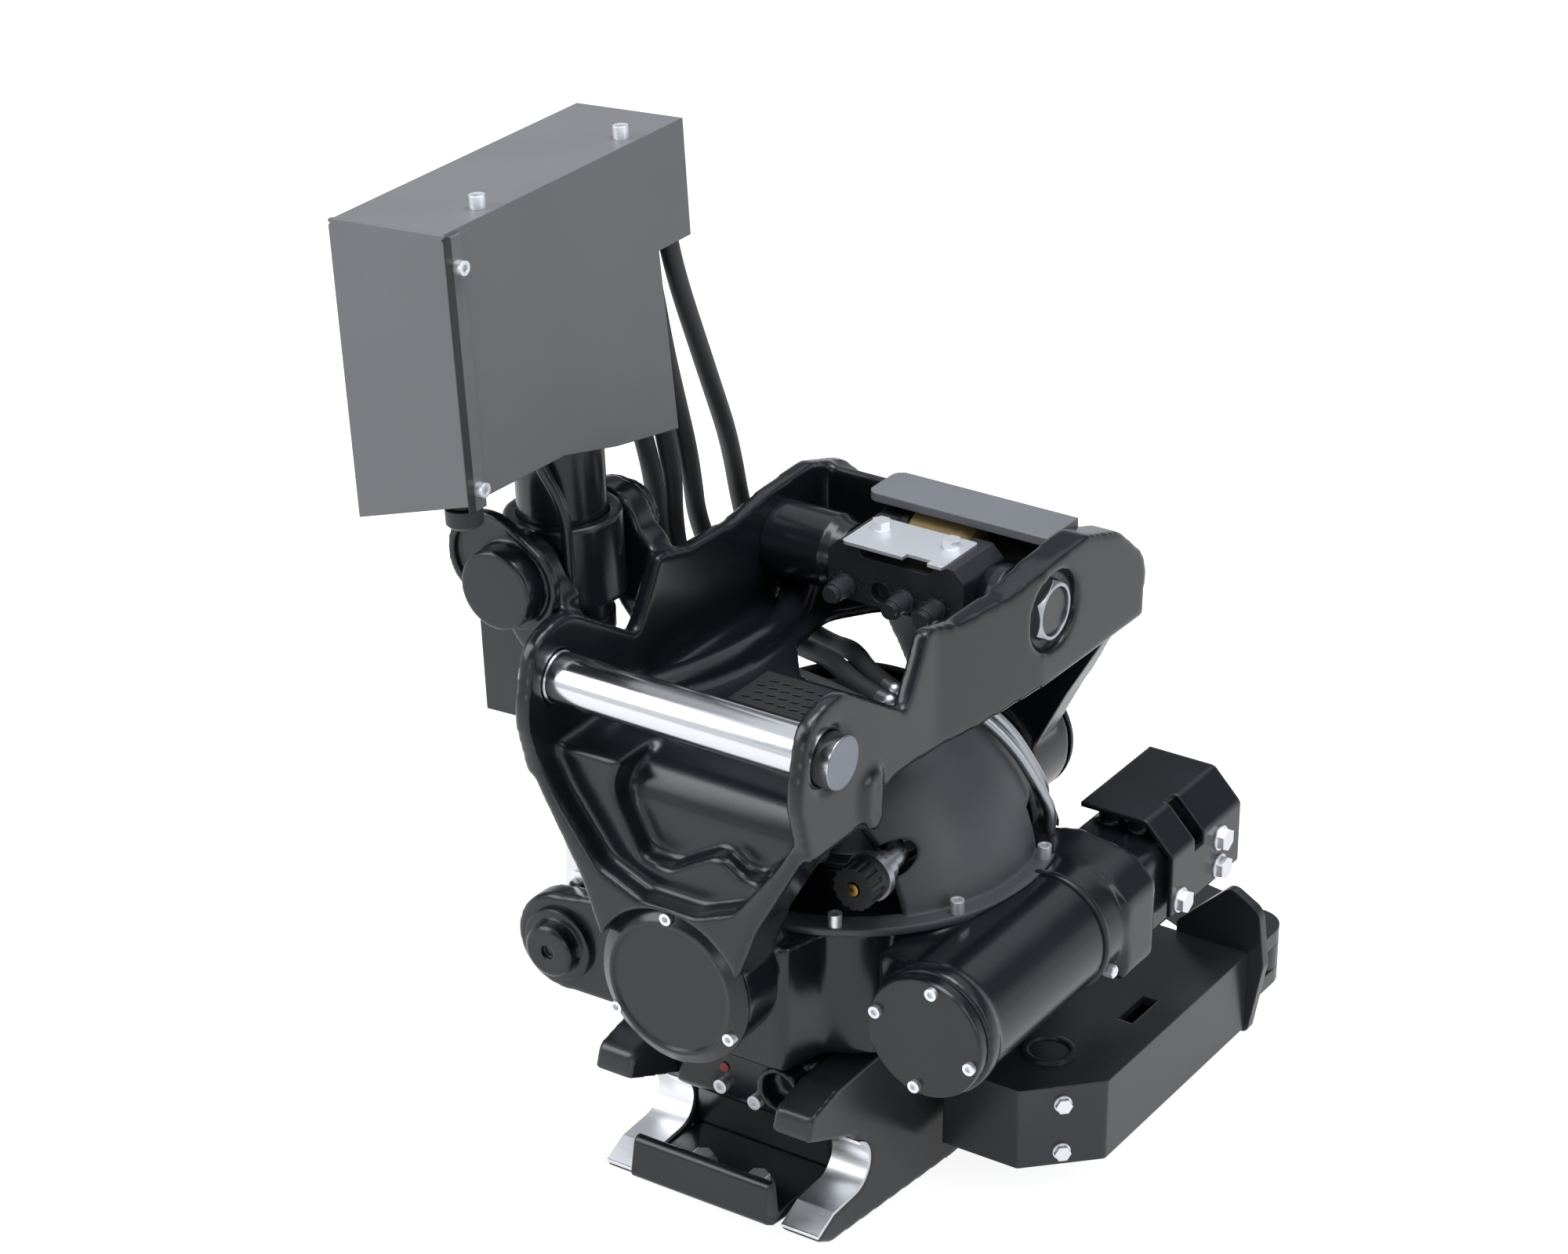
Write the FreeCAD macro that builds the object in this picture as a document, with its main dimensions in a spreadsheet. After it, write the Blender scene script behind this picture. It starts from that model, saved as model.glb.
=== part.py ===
# Tiltrotator for a small excavator: hitch, tilt cylinder, rotor housing with worm drive,
# quick coupler with gripper cassettes. Millimetres. The origin is the middle of the front hitch
# pin, +X runs along the pin to the right, +Y to the rear and +Z up.
import FreeCAD, Part
import math
import Sketcher
import os

from FreeCAD import Vector

os.makedirs("parts", exist_ok=True)

SIZES = {
    "fit": 0.05,
    "seat_gap": 0.3,
    "pin_radius": 20,
    "pin_end_radius": 21,
    "pin_spacing": 300,
    "hitch_half_width": 127,
    "hitch_plate": 13,
    "pin_overhang": 10,
    "nut_flats": 46,
    "nut_height": 9,
    "ear_radius": 43,
    "tilt_drop": 221,
    "hub_radius": 64,
    "hub_front": -15,
    "hub_back": 30,
    "leg_front": -30,
    "leg_back": 25,
    "leg_wall": 14,
    "rear_leg_front": 428,
    "rear_leg_depth": 34,
    "rear_hub_depth": 22,
    "rear_hub_radius": 56,
    "journal_radius": 38,
    "journal_flange_radius": 54,
    "cover_radius": 66,
    "cover_height": 10,
    "floor_top": -52,
    "floor_thickness": 9,
    "trunnion_offset": 47,
    "trunnion_z": 54,
    "cylinder_y": 92,
    "trunnion_radius": 20,
    "trunnion_boss_radius": 36,
    "trunnion_front": 20,
    "trunnion_rear": 164,
    "trunnion_boss_width": 26,
    "trunnion_disc_radius": 32,
    "barrel_radius": 35,
    "bore_radius": 27,
    "barrel_below": 50,
    "barrel_above": 288,
    "rod_radius": 16,
    "rod_length": 446,
    "piston_height": 26,
    "pipe_dx": 32.5,
    "pipe_dy": -39.5,
    "lug_x": -158,
    "lug_z": -269,
    "lug_radius": 42,
    "eye_radius": 36,
    "lug_plate": 22,
    "lug_pin_radius": 22,
    "lug_gap": 38,
    "box_lean": 4,
    "box_width": 98,
    "box_front": -84,
    "box_back": 214,
    "box_top": 368,
    "box_bottom": 152,
    "box_notch_top": 276,
    "box_notch_rear": 142,
    "manifold_bottom": 302,
    "sheet": 3,
    "rotor_y": 229,
    "housing_radius": 160,
    "housing_top": -203,
    "housing_bottom": -312,
    "housing_wall": 10,
    "dome_radius": 152,
    "dome_flange": 6,
    "dome_flange_radius": 166,
    "dome_wall": 5,
    "dome_opening": 72,
    "swivel_radius": 56,
    "swivel_top": -94,
    "worm_x": 175,
    "worm_z": -247,
    "worm_case_radius": 50,
    "worm_case_front": 66,
    "worm_case_back": 277,
    "worm_bore": 40,
    "worm_tip": 38,
    "worm_root": 26,
    "worm_shaft_radius": 15,
    "worm_pitch": 18.4,
    "wheel_tip": 147,
    "wheel_root": 134,
    "wheel_bottom": -272,
    "wheel_top": -222,
    "wheel_teeth": 48,
    "motor_length": 150,
    "motor_radius": 34,
    "neck_radius": 112,
    "coupler_half_width": 100,
    "coupler_top": -318,
    "coupler_pin_y": 80,
    "coupler_pin_z": -405,
    "coupler_rear_pin_y": 380,
    "coupler_base": -472,
    "coupler_side_wall": 34,
    "gripper_outer": 232,
    "gripper_inner": 112,
    "gripper_front": 192,
    "gripper_back": 481,
    "gripper_top": -364,
    "gripper_bottom": -436,
    "gripper_wall": 8,
    "gripper_chamfer": 51,
    "gripper_plug_x": 171,
    "gripper_plug_y": 256,
    "knuckle_height": 14,
    "lock_pin_radius": 8,
    "coupler_rear_pin_z": -432,
    "finger_pin_x": 214,
    "end_plate": 9,
    "finger_pin_radius": 12,
    "knuckle_radius": 25,
    "finger_top": -372,
    "finger_thickness": 22,
    "hose_radius": 8,
    "jaw_liner": 3,
    "ear_flare": 13,
    "cap_bolt_radius": 5,
    "cap_bolt_height": 8,
    "hex_bolt_flats": 17,
    "hex_bolt_height": 8,
}


class Length(float):
    """A number of millimetres that remembers the sheet formula it comes from."""

    def __new__(cls, number, formula):
        made = float.__new__(cls, number)
        made.formula = formula
        return made

    def __add__(self, other):
        return Length(float(self) + float(other), "(%s + %s)" % (self.formula, formula_of(other)))

    def __radd__(self, other):
        return Length(float(other) + float(self), "(%s + %s)" % (formula_of(other), self.formula))

    def __sub__(self, other):
        return Length(float(self) - float(other), "(%s - %s)" % (self.formula, formula_of(other)))

    def __rsub__(self, other):
        return Length(float(other) - float(self), "(%s - %s)" % (formula_of(other), self.formula))

    def __mul__(self, other):
        return Length(float(self) * float(other), "(%s * %s)" % (self.formula, formula_of(other)))

    __rmul__ = __mul__

    def __truediv__(self, other):
        return Length(float(self) / float(other), "(%s / %s)" % (self.formula, formula_of(other)))

    def __neg__(self):
        return Length(-float(self), "(0 - %s)" % self.formula)


def formula_of(number):
    return getattr(number, "formula", "%.6f" % float(number))


class Sizes:
    """Puts the driving dimensions into a sheet and gives each back as a Length."""

    def __init__(self, document, numbers):
        cells = document.addObject("Spreadsheet::Sheet", "sizes")
        for row, (alias, number) in enumerate(numbers.items(), 1):
            cells.set("A%d" % row, alias)
            cells.set("B%d" % row, str(number))
            cells.setAlias("B%d" % row, alias)
        document.recompute()
        for alias in numbers:
            setattr(self, alias, Length(cells.get(alias), "sizes.%s" % alias))


doc = FreeCAD.newDocument("tiltrotator")
s = Sizes(doc, SIZES)
s.rear_leg_back = s.rear_leg_front + s.rear_leg_depth
s.rear_hub_back = s.rear_leg_back + s.rear_hub_depth
s.trunnion_x = -s.hitch_half_width - s.trunnion_offset
s.cylinder_lean = math.degrees(math.atan2(s.lug_x - s.trunnion_x, s.trunnion_z - s.lug_z))
subparts = []

AXIS_TURNS = {
    "X": FreeCAD.Rotation(Vector(0, 1, 0), 90),
    "-X": FreeCAD.Rotation(Vector(0, 1, 0), -90),
    "Y": FreeCAD.Rotation(Vector(1, 0, 0), -90),
    "-Y": FreeCAD.Rotation(Vector(1, 0, 0), 90),
    "Z": FreeCAD.Rotation(),
    "-Z": FreeCAD.Rotation(Vector(1, 0, 0), 180),
}
AXIS_VECTORS = {
    "X": Vector(1, 0, 0), "-X": Vector(-1, 0, 0), "Y": Vector(0, 1, 0),
    "-Y": Vector(0, -1, 0), "Z": Vector(0, 0, 1), "-Z": Vector(0, 0, -1),
}


def place(item, base, axis="Z"):
    """Puts an object at a bound base point, with its own Z turned to the named axis."""
    item.Placement = FreeCAD.Placement(Vector(*[float(c) for c in base]), AXIS_TURNS[axis])
    for letter, number in zip("xyz", base):
        item.setExpression("Placement.Base.%s" % letter, formula_of(number))


def keep(item, label):
    item.Label = label
    subparts.append(item)
    return item


def cylinder(label, radius, height, base, axis):
    """A plain bar as a document primitive bound to the sheet."""
    bar = doc.addObject("Part::Cylinder", label)
    bar.setExpression("Radius", formula_of(radius))
    bar.setExpression("Height", formula_of(height))
    place(bar, base, axis)
    return keep(bar, label)


def origin_plane(body, role):
    for feature in body.Origin.OriginFeatures:
        if feature.Role == role:
            return feature
    raise ValueError(role)


def bound_sketch(body, name, role, points):
    """A closed polyline whose corners are all held by bound distances from the origin."""
    sketch = body.newObject("Sketcher::SketchObject", name)
    sketch.AttachmentSupport = [(origin_plane(body, role), "")]
    sketch.MapMode = "FlatFace"
    count = len(points)
    corners = [Vector(float(u), float(v), 0) for u, v in points]
    lines = [Part.LineSegment(corners[i], corners[(i + 1) % count]) for i in range(count)]
    sketch.addGeometry(lines, False)
    for i in range(count):
        sketch.addConstraint(Sketcher.Constraint("Coincident", i, 2, (i + 1) % count, 1))
    for i, (u, v) in enumerate(points):
        for kind, number in (("DistanceX", u), ("DistanceY", v)):
            index = sketch.addConstraint(Sketcher.Constraint(kind, -1, 1, i, 1, float(number)))
            if isinstance(number, Length):
                sketch.setExpression("Constraints[%d]" % index, number.formula)
    sketch.Visibility = False
    return sketch


def turned(label, profile, base, axis):
    """A turned piece: (radius, height) corners revolved about the body's Z."""
    body = doc.addObject("PartDesign::Body", label)
    sketch = bound_sketch(body, label + "_profile", "XZ_Plane", profile)
    lathe = body.newObject("PartDesign::Revolution", label + "_turning")
    lathe.Profile = sketch
    lathe.ReferenceAxis = (sketch, ["V_Axis"])
    lathe.Angle = 360
    body.Tip = lathe
    place(body, base, axis)
    return keep(body, label)


def solid(label, shape):
    """A piece whose form is made by Part's own functions from the sheet's sizes."""
    feature = doc.addObject("Part::Feature", label)
    feature.Shape = shape
    return keep(feature, label)


def to_space(plane, u, v, w):
    """Plane coordinates and a height over the plane to a point in space."""
    if plane == "YZ":
        return Vector(w, u, v)
    if plane == "XZ":
        return Vector(u, w, v)
    return Vector(u, v, w)


def lathe(profile, base, axis):
    """A turned solid from (radius, height) corners, standing on a base point along an axis."""
    corners = [Vector(float(radius), 0, float(height)) for radius, height in profile]
    face = Part.Face(Part.makePolygon(corners + corners[:1]))
    shape = face.revolve(Vector(0, 0, 0), Vector(0, 0, 1), 360)
    shape.Placement = FreeCAD.Placement(base, AXIS_TURNS[axis])
    return shape


def outline_wire(plane, points, height):
    """A closed outline; a corner given as (u, v, radius) is rounded by a tangent arc."""
    count = len(points)
    spots = [to_space(plane, float(p[0]), float(p[1]), float(height)) for p in points]
    starts, ends, middles = [], [], []
    for i, point in enumerate(points):
        radius = float(point[2]) if len(point) > 2 else 0.0
        here = spots[i]
        back = (spots[i - 1] - here)
        ahead = (spots[(i + 1) % count] - here)
        if radius <= 0:
            starts.append(here)
            ends.append(here)
            middles.append(None)
            continue
        half = back.getAngle(ahead) / 2
        reach = min(radius / math.tan(half), 0.48 * back.Length, 0.48 * ahead.Length)
        radius = reach * math.tan(half)
        back.normalize()
        ahead.normalize()
        middle_way = back + ahead
        middle_way.normalize()
        starts.append(here + back * reach)
        ends.append(here + ahead * reach)
        middles.append(here + middle_way * (radius / math.sin(half) - radius))
    edges = []
    for i in range(count):
        if middles[i] is not None:
            edges.append(Part.Arc(starts[i], middles[i], ends[i]).toShape())
        following = starts[(i + 1) % count]
        if (following - ends[i]).Length > 1e-6:
            edges.append(Part.LineSegment(ends[i], following).toShape())
    return Part.Wire(edges)


def slab(plane, points, low, high):
    """An outline extruded between two heights over its plane."""
    face = Part.Face(outline_wire(plane, points, low))
    return face.extrude(to_space(plane, 0, 0, float(high) - float(low)))


def rod(axis, centre, low, high, radius):
    """A cylinder along X, Y or Z from low to high; centre gives the other two coordinates."""
    first, second = centre
    start = {"X": Vector(low, first, second), "Y": Vector(first, low, second),
             "Z": Vector(first, second, low)}[axis]
    return Part.makeCylinder(radius, high - low, start, AXIS_VECTORS[axis])


def box(low, high):
    spans = [float(b) - float(a) for a, b in zip(low, high)]
    return Part.makeBox(spans[0], spans[1], spans[2], Vector(*[float(a) for a in low]))


def fuse(shapes):
    whole = shapes[0]
    if len(shapes) > 1:
        whole = whole.fuse(shapes[1:])
    return whole.removeSplitter()


def cut(shape, tools):
    return shape.cut(tools)


def mirrored(shape):
    return shape.mirror(Vector(0, 0, 0), Vector(1, 0, 0))


def hexagon(axis, centre, low, high, flats):
    """A hexagonal prism across the given flats."""
    corner = float(flats) / math.sqrt(3)
    plane = {"X": "YZ", "Y": "XZ", "Z": "XY"}[axis]
    points = []
    for i in range(6):
        angle = math.radians(60 * i + 30)
        points.append((centre[0] + corner * math.cos(angle), centre[1] + corner * math.sin(angle)))
    return slab(plane, points, low, high)


def socket_screw(at, axis, radius, height):
    """A socket head standing on its seat at the given point, pointing along the axis."""
    way = AXIS_VECTORS[axis]
    head = Part.makeCylinder(radius, height, at, way)
    socket = Part.makeCylinder(radius * 0.5, height * 0.6, at + way * (height * 0.45), way)
    return head.cut(socket)


def hex_screw(at, axis, flats, height):
    """A hexagon head on a round washer."""
    way = AXIS_VECTORS[axis]
    washer = Part.makeCylinder(flats * 0.62, height * 0.2, at, way)
    corner = float(flats) / math.sqrt(3)
    points = [Vector(corner * math.cos(math.radians(60 * i)), corner * math.sin(math.radians(60 * i)), 0)
              for i in range(7)]
    head = Part.Face(Part.makePolygon(points)).extrude(Vector(0, 0, float(height)))
    head.Placement = FreeCAD.Placement(at, AXIS_TURNS[axis])
    return washer.fuse(head).removeSplitter()


def tube(points, radius):
    """A hose or pipe: straight runs joined by tangent arcs, swept with a round section."""
    spots = [Vector(*[float(c) for c in point]) for point in points]
    legs = [(spots[i + 1] - spots[i]).Length for i in range(len(spots) - 1)]
    edges = []
    start = spots[0]
    for i in range(1, len(spots) - 1):
        back = spots[i - 1] - spots[i]
        ahead = spots[i + 1] - spots[i]
        half = back.getAngle(ahead) / 2
        reach = 0.45 * min(legs[i - 1], legs[i])
        bend = reach * math.tan(half)
        back.normalize()
        ahead.normalize()
        middle_way = back + ahead
        middle_way.normalize()
        entry = spots[i] + back * reach
        leave = spots[i] + ahead * reach
        middle = spots[i] + middle_way * (bend / math.sin(half) - bend)
        edges.append(Part.LineSegment(start, entry).toShape())
        edges.append(Part.Arc(entry, middle, leave).toShape())
        start = leave
    edges.append(Part.LineSegment(start, spots[-1]).toShape())
    path = Part.Wire(edges)
    section = Part.Wire(Part.makeCircle(radius, spots[0], spots[1] - spots[0]))
    swept = path.makePipeShell([section], True, False)
    expected = math.pi * float(radius) ** 2 * path.Length
    print("tube length %.0f volume ratio %.4f" % (path.Length, swept.Volume / expected))
    return swept


def hose_routes():
    """Control points of the four hoses: down outside the left plate, then in under the floor."""
    side = -s.hitch_half_width
    return [
        [(side - 26, 199, 298), (side - 25, 202, 276), (side - 24, 216, 233),
         (side - 23, 237, 183), (side - 25, 261, 134), (side - 32, 289, 89), (side - 43, 316, 48),
         (side - 49, 334, 6), (side - 40, 337, -35), (side - 16, 332, -68), (-107, 321, -87),
         (-68, 306, -87), (-31, 281, -72), (-6, 261, -75), (20, 249, -76)],
        [(side - 41, 188, 298), (side - 40, 191, 276), (side - 32, 193, 235),
         (side - 27, 199, 186), (side - 27, 215, 136), (side - 33, 237, 90), (side - 44, 260, 49),
         (side - 54, 279, 12), (side - 49, 290, -25), (side - 29, 294, -58), (-124, 293, -79),
         (-87, 285, -85), (-43, 264, -75), (2, 235, -76), (27, 228, -76)],
        [(side - 45, 169, 298), (side - 44, 172, 276), (side - 39, 175, 236),
         (side - 33, 181, 189), (side - 30, 194, 141), (side - 34, 212, 97), (side - 45, 234, 60),
         (side - 55, 248, 24), (side - 54, 253, -13), (side - 39, 251, -47),
         (side - 13, 243, -72), (-106, 235, -82), (-61, 225, -77), (-11, 217, -76),
         (14, 210, -76)],
        [(side - 57, 154, 298), (side - 56, 157, 276), (side - 50, 160, 237),
         (side - 43, 165, 190), (side - 39, 176, 143), (side - 40, 193, 100),
         (side - 48, 213, 61), (side - 58, 229, 26), (side - 56, 235, -11), (side - 42, 232, -44),
         (side - 16, 224, -70), (-110, 214, -81), (-72, 204, -78), (-27, 201, -76),
         (-2, 194, -76)],
    ]


HOSE_ROUTES = hose_routes()


def side_outline():
    """The hitch side plate seen from the right: front ear, hook, wavy top and rear ear."""
    span = s.pin_spacing
    ear = s.ear_radius
    return [
        (-ear * 0.7, ear * 0.9, 26), (ear * 0.3, ear * 1.15, 40), (span * 0.18, 24, 40),
        (span * 0.34, -6, 6), (span * 0.37, 8, 26), (span * 0.42, 34, 8),
        (span * 0.44, 48, 8), (span * 0.47, 46, 14), (span * 0.58, 38, 30),
        (span * 0.79, 36, 60), (span * 0.98, 44, 60), (span + ear * 1.1, 46, 34),
        (span + ear * 2.3, 30, 40), (span + ear * 3.35, -8, 30),
        (s.rear_leg_back - 22, -75, 20), (s.rear_leg_front - 4, -75, 20),
        (span * 1.18, -64, 30), (span * 0.78, -62, 60), (span * 0.30, -54, 40),
        (span * 0.12, -76, 20), (-ear * 0.62, -76, 10), (-ear, -20, 40),
    ]


def leg_outline(top_half, hub_radius):
    """A hitch leg seen from the front: a V that closes on the tilt hub."""
    z = -s.tilt_drop
    return [
        (-top_half, -40), (-top_half, -58, 20), (-top_half * 0.90, -84, 30),
        (-top_half * 0.62, -146, 30), (-hub_radius * 0.9, z + 18), (-hub_radius * 0.6, z),
        (hub_radius * 0.6, z), (hub_radius * 0.9, z + 18), (top_half * 0.62, -146, 30),
        (top_half * 0.90, -84, 30), (top_half, -58, 20), (top_half, -40),
    ]


def cavity_outline():
    """The wavy edge of the deep pocket in the front leg."""
    right = s.hitch_half_width - s.leg_wall
    return [
        (-44, -30), (-52, -46, 20), (-63, -78, 24), (-50, -102, 16), (-37, -127, 12), (-12, -131, 14),
        (12, -116, 16), (34, -104, 16), (52, -116, 14), (right * 0.60, -118, 12),
        (right * 0.86, -84, 26), (right - 2, -58, 20), (right - 2, -30),
    ]


def leg_recess(top_half):
    """The opening inside the front leg's rim, closed below over the hub."""
    return [
        (-top_half + s.leg_wall, -30), (-top_half + s.leg_wall, -60, 20),
        (-top_half * 0.90 + s.leg_wall * 1.15, -86, 30), (-top_half * 0.60 + s.leg_wall, -134, 16),
        (-24, -150, 30), (24, -150, 30), (top_half * 0.60 - s.leg_wall, -134, 16),
        (top_half * 0.90 - s.leg_wall * 1.15, -86, 30), (top_half - s.leg_wall, -60, 20),
        (top_half - s.leg_wall, -30),
    ]


def hitch_plate(sign):
    inner = s.hitch_half_width - s.hitch_plate
    outer = s.hitch_half_width
    plate = slab("YZ", side_outline(), inner, outer)
    span = s.pin_spacing
    if sign < 0:
        boss = rod("X", (span, 0), inner, outer + 4, s.ear_radius * 0.82)
        return mirrored(plate.fuse(boss))
    flare = slab("XY", [(outer - 1, span * 0.45), (outer + s.ear_flare, span * 0.94),
                        (outer + s.ear_flare + 3, s.rear_leg_back), (outer - 1, s.rear_leg_back)], -60, 60)
    flare = flare.common(slab("YZ", side_outline(), outer - 1, outer + s.ear_flare + 4))
    pocket = rod("X", (span, 0), outer + 4, outer + s.ear_flare + 5, s.nut_flats * 0.72)
    end_pocket = rod("X", (0, 0), outer - 3, outer + 1, s.pin_end_radius + 6)
    return cut(plate.fuse(flare), [pocket, end_pocket])


def hitch_legs():
    half = s.hitch_half_width
    axis = (0, -s.tilt_drop)
    front = slab("XZ", leg_outline(half, s.hub_radius), s.leg_front, s.leg_back)
    recess = slab("XZ", leg_recess(half), s.leg_front - 1, s.leg_back - 33)
    hub = rod("Y", axis, s.hub_front, s.hub_back, s.hub_radius)
    rear = slab("XZ", leg_outline(half, s.rear_hub_radius), s.rear_leg_front, s.rear_leg_back)
    rear_hub = rod("Y", axis, s.rear_leg_front - 6, s.rear_hub_back, s.rear_hub_radius)
    rear_recess = slab("XZ", leg_recess(half), s.rear_leg_front + 14, s.rear_leg_back + 1)
    back = s.rear_leg_back
    slope = slab("YZ", [(back + 1, -38), (back - 22, -38), (back - 22, -64), (back + 1, -130)], -half - 1, half + 1)
    seat = rod("Y", axis, s.leg_front - 1, s.hub_front, s.cover_radius + 1)
    front = cut(front, [recess, seat])
    rear = cut(rear, [rear_recess, slope])
    return [front, hub, rear, rear_hub]


def floor_roll():
    """The floor's front edge, rolled down into the front leg, and the pocket in front of it."""
    inner = s.hitch_half_width - s.hitch_plate
    top = s.floor_top
    r = 44
    y, z = 54, top - r
    roll = rod("X", (y, z), -70, inner, r)
    hollow = rod("X", (y, z), -71, inner + 1, r - 11)
    behind = box((-71, y, z - r - 1), (inner + 1, y + r + 1, z + r + 1))
    below = box((-71, y - r - 1, z - r - 1), (inner + 1, y + r + 1, z))
    shell = cut(roll, [hollow, behind, below])
    pocket = slab("XZ", cavity_outline(), s.leg_front - 1, y)
    panel = box((-120, y - r, z - 90), (inner + 10, y + 1, z))
    pocket = cut(pocket, [roll, panel])
    ridge = box((-inner + 1, s.leg_front - 1, top), (inner - 1, s.leg_back + 1, -30))
    return shell, [pocket, ridge]


def hitch_floor():
    """The floor between the side plates, with the hose opening and a diagonal rib."""
    inner = s.hitch_half_width - s.hitch_plate + 1
    top = s.floor_top
    low = top - s.floor_thickness
    plate = slab("XY", [(-inner, 2), (inner, 2), (inner, 442), (-inner, 442)], low, top)
    opening = slab("XY", [(-56, 236, 24), (-20, 186, 30), (inner - 3, 186, 10), (inner - 3, 338, 20),
                          (-30, 338, 40), (-62, 290, 30)], low - 1, top + 1)
    plate = cut(plate, [opening])
    wall = slab("XZ", [(-inner, low), (inner, low), (inner, 36), (-inner, 36)],
                s.pin_spacing + 69.5, s.pin_spacing + 78)
    rib = tube([(-inner, 60, -48), (-76, 160, -48), (-74, 250, -48), (-inner, 336, -48)], 13)
    cross = box((-inner, 428, low), (inner, 440, -20))
    return [plate, wall, rib, cross]


def trunnion_brackets():
    """The two bearing blocks that carry the cylinder's trunnion on the left side plate."""
    shapes = []
    edge = -s.hitch_half_width + 2
    x, z = s.trunnion_x, s.trunnion_z
    for low in (s.trunnion_front, s.trunnion_rear - s.trunnion_boss_width):
        high = low + s.trunnion_boss_width
        shapes.append(rod("Y", (x, z), low, high, s.trunnion_boss_radius))
        web = slab("XZ", [(x, z + s.trunnion_boss_radius * 0.98), (edge, z - 4, 10), (edge, -30),
                          (edge - 10, -34, 10), (x - 6, z - s.trunnion_boss_radius * 0.98)], low, high)
        shapes.append(web)
    return shapes


def hitch_frame():
    axis = (0, -s.tilt_drop)
    shapes = [hitch_plate(1), hitch_plate(-1)]
    shell, pockets = floor_roll()
    shapes += hitch_legs() + hitch_floor() + trunnion_brackets() + [side_pad(), shell]
    frame = cut(fuse(shapes), pockets)
    reach = s.hitch_half_width + 30
    pin_bores = [rod("X", (0, 0), -reach, reach, s.pin_end_radius + s.fit),
                 rod("X", (s.pin_spacing, 0), -reach, reach, s.pin_radius + s.fit)]
    hub_bore = rod("Y", axis, s.hub_front - 60, s.hub_back + 1, s.journal_radius + s.fit)
    rear_bore = rod("Y", axis, s.rear_leg_front - 20, s.rear_hub_back + 1, s.journal_radius + s.fit)
    trunnion_bore = rod("Y", (s.trunnion_x, s.trunnion_z), s.trunnion_front - 1,
                        s.trunnion_rear + 1, s.trunnion_radius + s.fit)
    solid("hitch_frame", cut(frame, pin_bores + [hub_bore, rear_bore, trunnion_bore]))


def hitch_pins():
    half = s.hitch_half_width + s.pin_overhang
    shoulder = s.hitch_half_width - s.hitch_plate - s.seat_gap
    r, end = s.pin_radius, s.pin_end_radius
    turned("front_pin", [(0, 0), (end, 0), (end, half - shoulder), (r, half - shoulder), (r, half + shoulder),
                         (end, half + shoulder), (end, half * 2), (0, half * 2)], (-half, 0, 0), "X")
    cylinder("rear_pin", s.pin_radius, half * 2, (-half, s.pin_spacing, 0), "X")
    start = s.hitch_half_width + 4
    nut = hexagon("X", (s.pin_spacing, 0), start, start + s.nut_height, s.nut_flats)
    corner = s.nut_flats / math.sqrt(3)
    chamfer = lathe([(0, 0), (corner + 1, 0), (corner + 1, s.nut_height - 4), (corner - 4, s.nut_height),
                     (0, s.nut_height)], Vector(start, s.pin_spacing, 0), "X")
    nut = nut.common(chamfer)
    hole = rod("X", (s.pin_spacing, 0), start - 1, start + s.nut_height + 1, s.pin_radius + s.fit)
    solid("rear_pin_nut", cut(nut, [hole]))


def tilt_covers():
    """The bevelled discs that close the tilt hubs, and their screws."""
    low = s.hub_front
    r, deep = s.cover_radius, s.cover_height
    profile = [(0, 0), (r, 0), (r, deep * 0.3), (r * 0.84, deep), (r * 0.8, deep), (r * 0.78, deep * 0.8),
               (0, deep * 0.8)]
    cover = lathe(profile, Vector(0, low, -s.tilt_drop), "-Y")
    rear_radius = s.rear_hub_radius
    rear = lathe([(0, 0), (rear_radius, 0), (rear_radius, 4), (rear_radius - 8, 9), (0, 9)],
                 Vector(0, s.rear_hub_back, -s.tilt_drop), "Y")
    screws = []
    for angle in (-150, -30, 90):
        x = s.cover_radius * 0.9 * math.cos(math.radians(angle + 3))
        z = -s.tilt_drop + s.cover_radius * 0.9 * math.sin(math.radians(angle + 3))
        screws.append(socket_screw(Vector(x, low - deep * 0.4, z), "-Y", 5, 7))
        cover = cover.cut(Part.makeCylinder(5.2, 12, Vector(x, low - deep * 0.4, z), AXIS_VECTORS["-Y"]))
    solid("tilt_covers", Part.makeCompound([cover, rear]))
    return screws


def side_pad():
    """The oblong grease pad on the right side plate."""
    x = s.hitch_half_width
    pad = slab("YZ", [(45, -34, 10.5), (66, -34, 10.5), (66, -82, 10.5), (45, -82, 10.5)], x, x + 5)
    holes = [rod("X", (55.5, z), x - 1, x + 6, 2.5) for z in (-46, -70)]
    backing = slab("YZ", [(40, -36, 8), (60, -36, 8), (60, -72, 8), (40, -72, 8)], x, x + 2.5)
    return cut(pad.fuse(backing), holes)


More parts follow.
